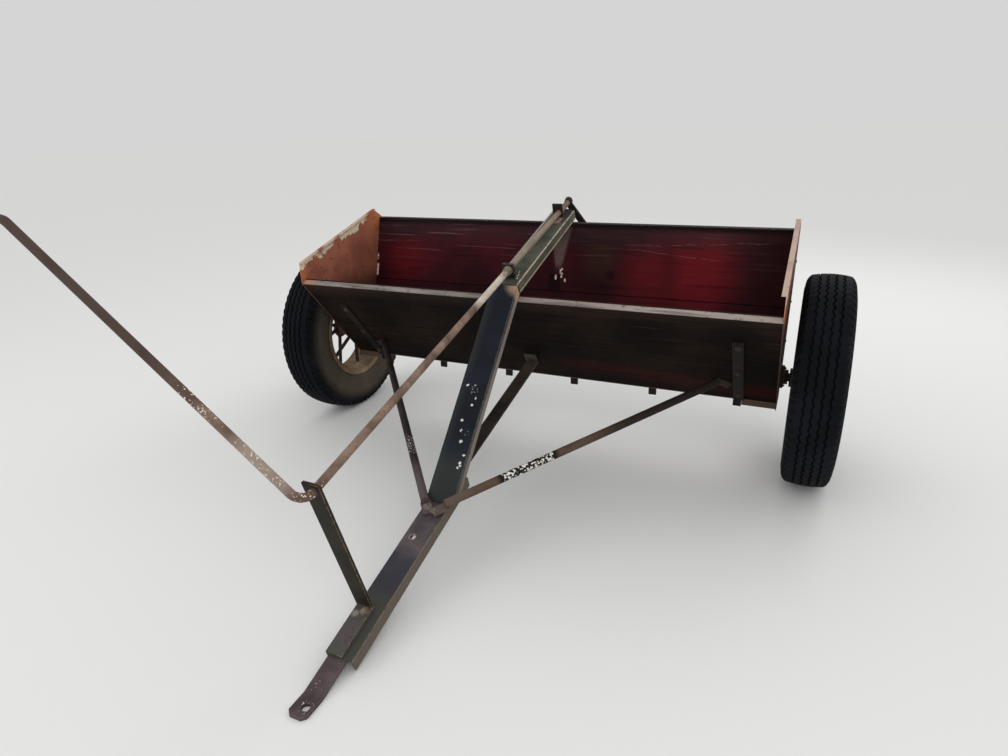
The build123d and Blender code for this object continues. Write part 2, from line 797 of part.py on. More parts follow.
def ring_about_axle(points, x):
    """A ring turned about the axle from (across, radius) points, centred on X."""
    face = make_face(Plane.XZ * Polyline(*points, close=True))
    ring = revolve(face, Axis.X, 360)
    return ring.moved(Location((x, 0, tyre_radius)))


def tyre(x):
    """Tyre carcass open at the beads, with a rounded shoulder and a flat-crowned tread."""
    half = tyre_width / 2
    bead = rim_radius + bead_lift
    side_radius = (tyre_radius + bead) / 2 - side_lower
    flange_top = rim_radius + rim_flange
    outer = [
        (-rim_half + bead_inset, bead),
        (-rim_half + bead_gap, flange_top + bead_gap),
        (-rim_half - bead_bulge_out, flange_top + bead_bulge_up),
        (-half, side_radius),
        (-half + shoulder_inset, tyre_radius - shoulder_drop),
        (-tread_half, tyre_radius - tread_crown - tread_edge_drop),
        (-tread_half * crown_share, tyre_radius - crown_drop),
        (0, tyre_radius),
    ]
    inner = [
        (-rim_half + bead_inset + tyre_wall, bead),
        (-rim_half + bead_bulge_out + tyre_wall * lining_bead_share, flange_top + lining_bead_up),
        (-half + tyre_wall * lining_side_share, side_radius),
        (-half + tyre_wall + shoulder_inset, tyre_radius - shoulder_drop - lining_at_shoulder),
        (-tread_half + lining_at_tread, tyre_radius - tyre_wall - lining_corner_drop),
        (0, tyre_radius - tyre_wall - lining_crown_drop),
    ]
    outline = outer + [(-px, r) for px, r in outer[-2::-1]]
    outline += [(-px, r) for px, r in inner] + inner[-2::-1]
    return ring_about_axle(outline, x)


def rim(x):
    """Drop-centre rim with a turned-up flange at each side."""
    flange_top = rim_radius + rim_flange
    well = rim_radius - rim_drop
    outer = [
        (-rim_half - rim_lip, flange_top),
        (-rim_half, flange_top),
        (-rim_half + bead_inset, rim_radius + rim_seat_lift),
        (-rim_drop_half - rim_well_run, rim_radius - rim_well_dip),
        (-rim_drop_half, well),
    ]
    inner = [
        (-rim_half - rim_lip, flange_top - rim_lip_depth),
        (-rim_half - rim_wall, rim_radius - rim_wall),
        (-rim_drop_half - rim_well_run - rim_wall, rim_radius - rim_wall - rim_well_dip),
        (-rim_drop_half - rim_wall, well - rim_wall),
    ]
    outline = outer + [(-px, r) for px, r in outer[::-1]]
    outline += [(-px, r) for px, r in inner] + inner[::-1]
    return ring_about_axle(outline, x)


def wheels():
    """Both wheels: hub on the axle, two staggered rings of round spokes, rim and tyre."""
    z = tyre_radius
    for side, name in ((-1, "left"), (1, "right")):
        x = side * track / 2
        hub_in = side * (hopper_length / 2 + bearing_length + hub_gap)
        hub_out = x + side * hub_past
        clearance = rod_clearance if side < 0 else drive_fit
        bore_from = (hub_in - side * cut_past, 0, z)
        bore_to = (hub_out + side * cut_past, 0, z)
        rings = (x - hub_ring_half, x + hub_ring_half)
        core = hub_solid(hub_in, hub_out, rings)
        place("hub_" + name, core - rod_bar(bore_from, bore_to, axle_d + 2 * clearance))

        seat = rim_radius - rim_drop - rim_wall
        root_r = hub_flange_d / 2 - spoke_root_depth
        tip_r = seat + spoke_overlap
        spokes = []
        for index in range(spoke_count):
            u = along(360.0 / spoke_count * index + spoke_first)
            ring_x = rings[index % 2]
            tip_x = x + (ring_x - x) * spoke_dish
            root = (ring_x, u[0] * root_r, z + u[1] * root_r)
            tip = (tip_x, u[0] * tip_r, z + u[1] * tip_r)
            spokes.append(rod_bar(root, tip, spoke_d))
        envelope = rod_bar((x - rim_half, 0, z), (x + rim_half, 0, z), 2 * (seat - spoke_trim))
        place("spokes_" + name, Compound(children=[(spoke & envelope) - core for spoke in spokes]))
        place("rim_" + name, rim(x))
        place("tyre_" + name, tyre(x))


def hub_solid(hub_in, hub_out, rings):
    """The hub's outer form before its bore, which the spokes' inner ends are cut to."""
    z = tyre_radius
    core = rod_bar((hub_in, 0, z), (hub_out, 0, z), hub_d)
    for ring_x in rings:
        low = ring_x - hub_flange_thickness / 2
        core += rod_bar((low, 0, z), (low + hub_flange_thickness, 0, z), hub_flange_d)
    return core


planks()
edge_strips()
end_panels()
board_straps()
floor_and_shutter()
frame_channels()
hitch_plate()
rod_bracket()
rod_plates()
gooseneck_post()
braces()
centre_strut()
control_rod()
collar_rings()
crank_arm()
link_rod()
axle_parts()
wheels()

os.makedirs("parts", exist_ok=True)
for node, shape in parts.items():
    export_step(shape, "parts/" + node + ".step")
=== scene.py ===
import math

import bpy
from mathutils import Matrix, Vector, noise


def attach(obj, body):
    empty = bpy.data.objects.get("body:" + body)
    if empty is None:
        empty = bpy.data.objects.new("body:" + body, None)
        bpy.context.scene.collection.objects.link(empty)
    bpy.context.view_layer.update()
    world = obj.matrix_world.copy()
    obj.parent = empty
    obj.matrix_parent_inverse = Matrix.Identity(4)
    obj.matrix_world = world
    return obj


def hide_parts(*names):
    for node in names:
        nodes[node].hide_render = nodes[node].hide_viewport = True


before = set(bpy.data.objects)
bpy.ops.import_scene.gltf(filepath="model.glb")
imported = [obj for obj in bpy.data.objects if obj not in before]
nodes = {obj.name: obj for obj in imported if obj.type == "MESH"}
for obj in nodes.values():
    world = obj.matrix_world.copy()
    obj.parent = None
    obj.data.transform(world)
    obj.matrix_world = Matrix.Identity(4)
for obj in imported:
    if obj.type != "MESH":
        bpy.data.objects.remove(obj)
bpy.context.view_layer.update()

scene = bpy.context.scene
print("frame loaded:", len(nodes), "nodes")


def rgb(*values):  # a colour as a picture shows it, 0 to 255, made linear
    return tuple(v / 255 / 12.92 if v <= 10 else ((v / 255 + 0.055) / 1.055) ** 2.4 for v in values)


# the part's own places, in metres: x across, y back from the hitch, z up
wheelX, axleY, axleZ = 1.28, 1.975, 0.468  # the middle of each wheel, and the axle
wheelSides = ((-1, "Left", "wheel_left"), (1, "Right", "wheel_right"))
# faces seen from the side as (y, z): a low end, the way up along the face and the way out of it
sideView = {"boardLow": (1.879, 0.375), "boardUp": (-0.6252, 0.7804), "boardOut": (-0.7804, -0.6252),
            "backLow": (2.003, 0.375), "backUp": (0.2740, 0.9617), "backOut": (0.9617, -0.2740),
            "barLow": (0.1648, 0.0516), "barUp": (0.9641, 0.2656), "barOut": (-0.2656, 0.9641),
            "neckLow": (1.4925, 0.9309), "neckUp": (0.9620, 0.2729), "neckOut": (-0.2729, 0.9620)}


# one shader socket; arithmetic on it adds Math nodes
class Wire:
    def __init__(self, finish, socket):
        self.finish = finish
        self.socket = socket

    def maths(self, operation, *values):
        return self.finish.node("ShaderNodeMath", {"operation": operation}, dict(enumerate(values)))

    def __add__(self, other):
        return self.maths("ADD", self, other)

    def __radd__(self, other):
        return self.maths("ADD", other, self)

    def __sub__(self, other):
        return self.maths("SUBTRACT", self, other)

    def __rsub__(self, other):
        return self.maths("SUBTRACT", other, self)

    def __mul__(self, other):
        return self.maths("MULTIPLY", self, other)

    def __rmul__(self, other):
        return self.maths("MULTIPLY", other, self)

    def __abs__(self):
        return self.maths("ABSOLUTE", self)

    def above(self, low, high):  # 0 under low, 1 over high, smooth between
        return self.finish.node("ShaderNodeMapRange", {"interpolation_type": "SMOOTHSTEP"},
                                {"Value": self, "From Min": low, "From Max": high})

    def below(self, low, high):
        return 1.0 - self.above(low, high)

    def near(self, centre, half, soft):  # 1 close to a value, fading over soft
        return abs(self - centre).below(half, half + soft)

    def orMore(self, other):
        return self.maths("MAXIMUM", self, other)

    def root(self):
        return self.maths("SQRT", self)

    def sine(self):
        return self.maths("SINE", self)


# a node material built up in Python
class Finish:
    def __init__(self, name):
        self.material = bpy.data.materials.new(name)
        self.material.use_nodes = True
        self.tree = self.material.node_tree
        self.tree.nodes.clear()
        self.coords = self.node("ShaderNodeTexCoord", output="Object")

    def node(self, kind, settings=None, inputs=None, output=0):
        item = self.tree.nodes.new(kind)
        for key, value in (settings or {}).items():
            setattr(item, key, value)
        for key, value in (inputs or {}).items():
            if isinstance(value, Wire):
                self.tree.links.new(value.socket, item.inputs[key])
            else:
                item.inputs[key].default_value = value
        return Wire(self, item.outputs[output]) if item.outputs else item

    def axis(self, name):  # X, Y or Z in metres
        return self.node("ShaderNodeSeparateXYZ", None, {0: self.coords}, name)

    def facing(self, name):  # X, Y or Z of the way the surface faces
        normal = self.node("ShaderNodeNewGeometry", output="True Normal")
        return self.node("ShaderNodeSeparateXYZ", None, {0: normal}, name)

    def placed(self, stretch, shift=(0, 0, 0)):
        return self.node("ShaderNodeMapping", None,
                         {"Vector": self.coords, "Scale": stretch, "Location": shift})

    def noise(self, scale, detail, rough=0.55, stretch=(1, 1, 1), shift=(0, 0, 0), warp=0.0):
        return self.node("ShaderNodeTexNoise", None,
                         {"Vector": self.placed(stretch, shift), "Scale": scale, "Detail": detail,
                          "Roughness": rough, "Distortion": warp})

    def cellBorders(self, scale, stretch):  # how far the nearest border between cells is
        return self.node("ShaderNodeTexVoronoi", {"feature": "DISTANCE_TO_EDGE"},
                         {"Vector": self.placed(stretch), "Scale": scale}, "Distance")

    def mix(self, share, a, b):  # two colours
        ends = [value if isinstance(value, Wire) else (*value, 1.0) for value in (a, b)]
        return self.node("ShaderNodeMix", {"data_type": "RGBA"}, {0: share, 6: ends[0], 7: ends[1]}, 2)

    def away(self, centre):  # distance from a place
        return self.node("ShaderNodeVectorMath", {"operation": "DISTANCE"},
                         {0: self.coords, 1: centre}, "Value")

    def spot(self, centre, radius, soft):  # 1 within a radius of a place, fading over soft
        return self.away(centre).below(radius, radius + soft)

    def fromAxle(self):  # distance from the wheels' axis
        y, z = self.axis("Y") - axleY, self.axis("Z") - axleZ
        return (y * y + z * z).root()

    def rounded(self, radius):  # the surface's direction with its edges eased
        return self.node("ShaderNodeBevel", {"samples": 4}, {"Radius": radius})

    def edge(self, radius):  # 1 along sharp edges
        flat = self.node("ShaderNodeNewGeometry", output="Normal")
        match = self.node("ShaderNodeVectorMath", {"operation": "DOT_PRODUCT"},
                          {0: self.rounded(radius), 1: flat}, "Value")
        return (1.0 - match).above(0.03, 0.25)

    def done(self, color, rough, height=None, depth=0.0, metal=0.0, ease=0.0, specular=0.2):
        values = {"Base Color": color if isinstance(color, Wire) else (*color, 1.0),
                  "Roughness": rough, "Metallic": metal, "Specular IOR Level": specular}
        if height is not None:
            bump = {"Height": height, "Distance": depth, "Strength": 1.0}
            if ease:
                bump["Normal"] = self.rounded(ease)
            values["Normal"] = self.node("ShaderNodeBump", None, bump)
        shader = self.node("ShaderNodeBsdfPrincipled", None, values)
        self.node("ShaderNodeOutputMaterial", None, {"Surface": shader})
        return self.material


# plank faces: old red paint inside the hopper, dark bare board outside, its colours made darker still as
# painted shade
boardLook = {
    "inside": rgb(46, 19, 23), "insideLight": rgb(76, 24, 30), "greyed": rgb(58, 42, 45),
    "red": rgb(126, 26, 36), "scuff": rgb(122, 104, 102), "knot": rgb(62, 42, 32), "chip": rgb(230, 214, 200),
    # outside colours: dark board, darkened further as painted shade under the hopper
    "outside": rgb(17, 11, 9), "outsideLight": rgb(36, 24, 18), "outsideRed": rgb(80, 21, 19),
    "outsideTop": rgb(60, 45, 36), "soot": rgb(14, 10, 10), "stain": rgb(116, 100, 94),
    "backSeam": 0.749, "frontSeam": 0.626,  # heights of the seams between the planks
    # centre, radius and soft edge of the brighter red, the stain round the knot and its dark heart
    "redLeft": ((-0.94, 2.14, 0.87), 0.03, 0.17), "redRight": ((0.72, 2.15, 0.90), 0.05, 0.24),
    "redMiddle": ((0.52, 2.13, 0.87), 0.05, 0.22), "knotStain": ((0.22, 2.15, 0.92), 0.03, 0.10),
    "knotHeart": ((0.285, 2.13, 0.845), 0.012, 0.020),
    # fall across the board, height at its middle, and where each long scratch fades in and out
    "scratches": ((-0.06, 0.978, (0.38, 0.5), (0.95, 1.05)), (0.066, 1.006, (0.33, 0.42), (0.75, 0.84))),
    # across, up, half width, half height of the pale chips below the gooseneck and by the left end
    "chips": ((0.025, 0.838, 0.0034, 0.022), (0.018, 0.848, 0.0030, 0.008), (-0.006, 0.818, 0.0032, 0.009),
              (0.045, 0.806, 0.0030, 0.006), (-1.119, 0.800, 0.0050, 0.030), (-1.121, 0.872, 0.0030, 0.014)),
}


def boardFinish(name, look, insideSign, seam, marks):  # marks: only the back board has them
    f = Finish(name)
    x, z = f.axis("X"), f.axis("Z")
    blotch = f.noise(2.3, 5, 0.55, shift=(3, 1, 7), warp=0.4)
    grain = f.noise(9.0, 8, 0.62, stretch=(0.35, 1.6, 6.0))
    streak = f.noise(46.0, 4, 0.6, stretch=(0.05, 1.2, 1.4), shift=(5, 0, 2))
    fleck = f.noise(110.0, 3, 0.6, stretch=(0.5, 1, 1))
    inside = f.mix(blotch.above(0.36, 0.64), look["inside"], look["insideLight"])
    if marks:
        glow = f.spot(*look["redLeft"]).orMore(f.spot(*look["redRight"]))
        glow = glow.orMore(f.spot(*look["redMiddle"]) * 0.6)
        inside = f.mix(glow * (0.40 + blotch.above(0.3, 0.7) * 0.4), inside, look["red"])
        inside = f.mix(z.above(0.93, 1.05) * (0.25 + grain * 0.6), inside, look["greyed"])
        inside = f.mix(x.above(0.78, 1.02) * 0.85, inside, look["inside"])
        inside = f.mix(f.spot(*look["knotStain"]) * 0.55, inside, look["knot"])
        inside = f.mix(f.spot(*look["knotHeart"]) * 0.6, inside, look["soot"])
    inside = f.mix(grain.above(0.50, 0.76) * 0.5, inside, look["soot"])
    scuffs = streak.above(0.57, 0.70) * z.above(0.84, 0.96) * (0.4 + x.below(-0.4, 0.1) * 0.6)
    inside = f.mix(scuffs * 0.42, inside, look["scuff"])
    if marks:
        wobble = f.noise(9.0, 2, 0.5, shift=(0, 4, 0)) * 0.03
        upper, lower = [
            (z + x * fall + wobble - height).near(0.0, 0.0006, 0.0016) * x.above(*fadeIn) * x.below(*fadeOut)
            for fall, height, fadeIn, fadeOut in look["scratches"]]
        inside = f.mix(upper.orMore(lower) * fleck.above(0.36, 0.56) * 0.45, inside, look["scuff"])
        # the pale run and the dark patch below the gooseneck
        run = (abs(x - 0.004) - (z - 0.85) * 0.20).below(0.002, 0.022) * z.above(0.84, 0.90)
        inside = f.mix(run * (0.5 + grain * 0.4), inside, look["stain"])
        inside = f.mix(x.near(-0.012, 0.022, 0.02) * z.near(0.79, 0.03, 0.02) * 0.6, inside, look["soot"])
        torn = f.noise(75.0, 4, 0.6, shift=(6, 2, 3)).above(0.42, 0.47)
        for across, up, halfWide, halfHigh in look["chips"]:
            chip = x.near(across, halfWide, 0.0025) * z.near(up, halfHigh, 0.006) * torn
            inside = f.mix(chip, inside, look["chip"])
    top = z.above(1.048, 1.074) if marks else z.above(0.845, 0.856)
    inside = f.mix(top * 0.8, inside, look["soot"])
    # the outside faces: dark board, darker still as painted shade
    outside = f.mix(blotch.above(0.40, 0.68), look["outside"], look["outsideLight"])
    if not marks:
        lowRed = (z + x * 0.05 - 0.495).near(0.0, 0.012, 0.045) * x.above(0.05, 0.35) * (0.05 + grain * 0.4)
        outside = f.mix(lowRed, outside, look["outsideRed"])
        outside = f.mix(z.above(0.78, 0.86) * (0.2 + blotch * 0.6), outside, look["outsideTop"])
    outside = f.mix(grain.above(0.46, 0.70) * 0.65, outside, look["soot"])
    outside = f.mix(streak.above(0.64, 0.74) * 0.16, outside, look["stain"])
    facing = (f.facing("Y") * insideSign).above(0.2, 0.4)
    color = f.mix(facing, outside, inside)
    gap = (z + f.noise(3.0, 2) * 0.004 - seam - 0.002).near(0.0, 0.0010, 0.0012)
    color = f.mix(gap, color, look["soot"])
    color = f.mix(f.edge(0.004) * fleck.above(0.42, 0.6) * 0.4, color, look["outsideLight"])
    rough = 0.62 + grain * 0.25
    height = grain * 0.5 + streak * 0.35 + fleck * 0.15 - gap * 1.6
    return f.done(color, rough, height, 0.0022, ease=0.003, specular=0.06)


# sheet ends: faded terracotta paint, peeled cream along the sloping edge, painted shade low down, outside and
# underneath
endLook = {
    "paint": rgb(166, 102, 80), "shade": rgb(134, 78, 60), "corner": rgb(190, 110, 70),
    "peel": rgb(226, 208, 182), "edgePink": rgb(182, 154, 144), "rust": rgb(98, 54, 36),
    "paintedShade": rgb(44, 31, 28), "frontEdge": rgb(84, 68, 60),
    "edgeStart": (1.487, 0.965), "edgeRise": 0.2667,  # the sloping edge: its front end (y, z) and its slope
}


def endFinish(name, look, side):
    f = Finish(name)
    x, y, z = f.axis("X"), f.axis("Y"), f.axis("Z")
    broad = f.noise(3.4, 5, 0.55, shift=(side * 3, 2, 0))
    fine = f.noise(38.0, 7, 0.65)
    outer = (f.facing("X") * side).above(0.4, 0.6)
    under = (y - look["edgeStart"][0]) * look["edgeRise"] + look["edgeStart"][1] - z
    color = f.mix(broad.above(0.38, 0.64), look["shade"], look["paint"])
    color = f.mix(y.above(2.03, 2.14) * z.above(0.95, 1.1) * 0.8, color, look["corner"])
    color = f.mix(y.below(1.50, 1.56) * z.above(0.86, 0.90) * 0.7, color, look["corner"])
    # painted shade: darker low down, on the outward faces and on the faces underneath
    color = f.mix((z + broad * 0.08).below(0.72, 0.90) * 0.88, color, look["paintedShade"])
    color = f.mix(outer * (0.30 + fine * 0.5), color, look["paintedShade"])
    color = f.mix(f.facing("Z").below(-0.5, -0.3) * 0.92, color, look["paintedShade"])
    (lowY, lowZ), (upY, upZ) = sideView["boardLow"], sideView["boardUp"]
    ahead = (y - lowY) * upZ + (z - lowZ) * -upY  # under 0 on the narrow strip ahead of the front board
    color = f.mix(ahead.below(-0.001, 0.001) * z.below(0.850, 0.858) * 0.9, color, look["frontEdge"])
    ragged = f.noise(17.0, 5, 0.6, shift=(1, 0, 4))
    peel = (ragged * 0.13 - under).above(0.026, 0.032) * under.above(-0.002, 0.002)
    peel = peel * f.noise(6.0, 3, 0.5, shift=(0, 9, 0)).above(0.34, 0.44) * y.below(2.04, 2.10)
    if side > 0:
        top = under.below(0.006, 0.012)
        color = f.mix(top * 0.9, color, look["edgePink"])
        peel = peel * 0.45
    else:
        color = f.mix(under.below(-0.002, 0.003) * (0.3 + fine * 0.6), color, look["rust"])
    color = f.mix(peel, color, look["peel"])
    rust = fine.above(0.56, 0.66) * broad.above(0.36, 0.6)
    color = f.mix(rust * 0.75, color, look["rust"])
    worn = f.edge(0.003) * fine.above(0.40, 0.58) * z.above(0.84, 0.92)
    color = f.mix(worn * 0.75, color, look["peel"] if side > 0 else look["corner"])
    height = fine * 0.5 - peel * 0.35 + rust * 0.3
    return f.done(color, 0.58 + fine * 0.25, height, 0.0014, ease=0.0012)


# steel members: two-tone old paint drifting along the piece, with some drifts of painted shade and painted
# highlight, rust, chips and bright worn edges
# drifts: axis, from, to, colour, share; patches and worn: centre, radius, soft edge, colour, share
# zones, where chips gather: centre, radius, soft edge; flakes, single chips: centre, radius
# flange: the outer faces of a channel's flanges, left-facing ones darker as painted shade, and the ridge
# along its right corner;
# its heel is a point (y, z) of the web, the web's slope and how far below it the right flange's colour starts
def steelFinish(name, look):
    f = Finish(name)
    broad = f.noise(look.get("scale", 7.0), 5, 0.6, warp=0.3)
    fine = f.noise(70.0, 6, 0.66)
    color = f.mix(broad.above(0.36, 0.64), look["dark"], look["light"])
    for axis, start, end, tint, share in look.get("drifts", ()):
        place = f.axis(axis) + (broad - 0.5) * abs(end - start)
        reach = place.above(start, end) if start < end else place.below(end, start)
        color = f.mix(reach * (0.8 + fine * 0.4) * share, color, tint)
    for centre, radius, soft, tint, share in look.get("patches", ()):
        color = f.mix(f.spot(centre, radius, soft) * (0.5 + broad) * share, color, tint)
    if "flange" in look:
        flange = look["flange"]
        x, side = f.axis("X"), f.facing("X")
        ridge = x.above(flange["ridgeFrom"], flange["ridgeFrom"] + 0.003) * fine.above(0.34, 0.52)
        color = f.mix(ridge * flange["ridgeShare"], color, flange["ridge"])
        right = side.above(0.5, 0.7) * (0.7 + broad * 0.5)
        if "heel" in flange:
            y0, z0, slope, start = flange["heel"]
            lean = math.radians(slope)
            below = (f.axis("Y") - y0) * math.sin(lean) - (f.axis("Z") - z0) * math.cos(lean)
            right = right * below.above(start - 0.003, start + 0.003)
        color = f.mix(right, color, flange["right"])
        if "sole" in flange:  # a bright strip along the flange's free edge
            sole, tint = flange["sole"]
            strip = side.above(0.5, 0.7) * below.above(sole, sole + 0.003) * fine.above(0.3, 0.5)
            color = f.mix(strip, color, tint)
        # painted shade: faces turned to the left take the darker flange colour
        color = f.mix(side.below(-0.7, -0.5), color, flange["left"])
        for centre, radius, soft, tint, share in flange.get("worn", ()):
            color = f.mix(f.spot(centre, radius, soft) * (0.4 + fine) * share, color, tint)
    rust = (broad * 0.4 + fine * 0.6).above(look["rustFrom"], look["rustFrom"] + 0.09)
    color = f.mix(rust * 0.8, color, look["rust"])
    height = fine * 0.55 + broad * 0.25 + rust * 0.2
    if "zones" in look:
        mask = None
        for centre, radius, soft in look["zones"]:
            zone = f.spot(centre, radius, soft)
            mask = zone if mask is None else mask.orMore(zone)
        flakes = f.noise(look["chipScale"], 3, 0.55, shift=(2, 7, 1))
        chips = (flakes + (mask - 1.0) * 0.32).above(look["chipFrom"], look["chipFrom"] + 0.025)
        color = f.mix(chips, color, look["chip"])
        height = height - chips * 0.4
    if "flakes" in look:
        ragged = (f.noise(170.0, 3, 0.6, shift=(4, 1, 8)) - 0.5) * 0.016
        for centre, radius in look["flakes"]:
            color = f.mix((f.away(centre) + ragged).below(radius * 0.8, radius), color, look["chip"])
    if "edge" in look:
        worn = f.edge(look.get("edgeWidth", 0.003)) * fine.above(0.36, 0.56)
        if "edgeSide" in look:  # only the edges on this side of the middle, the right-hand side where light falls: partly wear, partly painted highlight
            worn = worn * (f.axis("X") - look["edgeSide"]).above(-0.004, 0.004)
        color = f.mix(worn * look.get("edgeShare", 0.6), color, look["edge"])
    rough = look.get("rough", 0.55) + fine * 0.22
    return f.done(color, rough, height, 0.0012, metal=look.get("metal", 0.0), ease=0.0012)


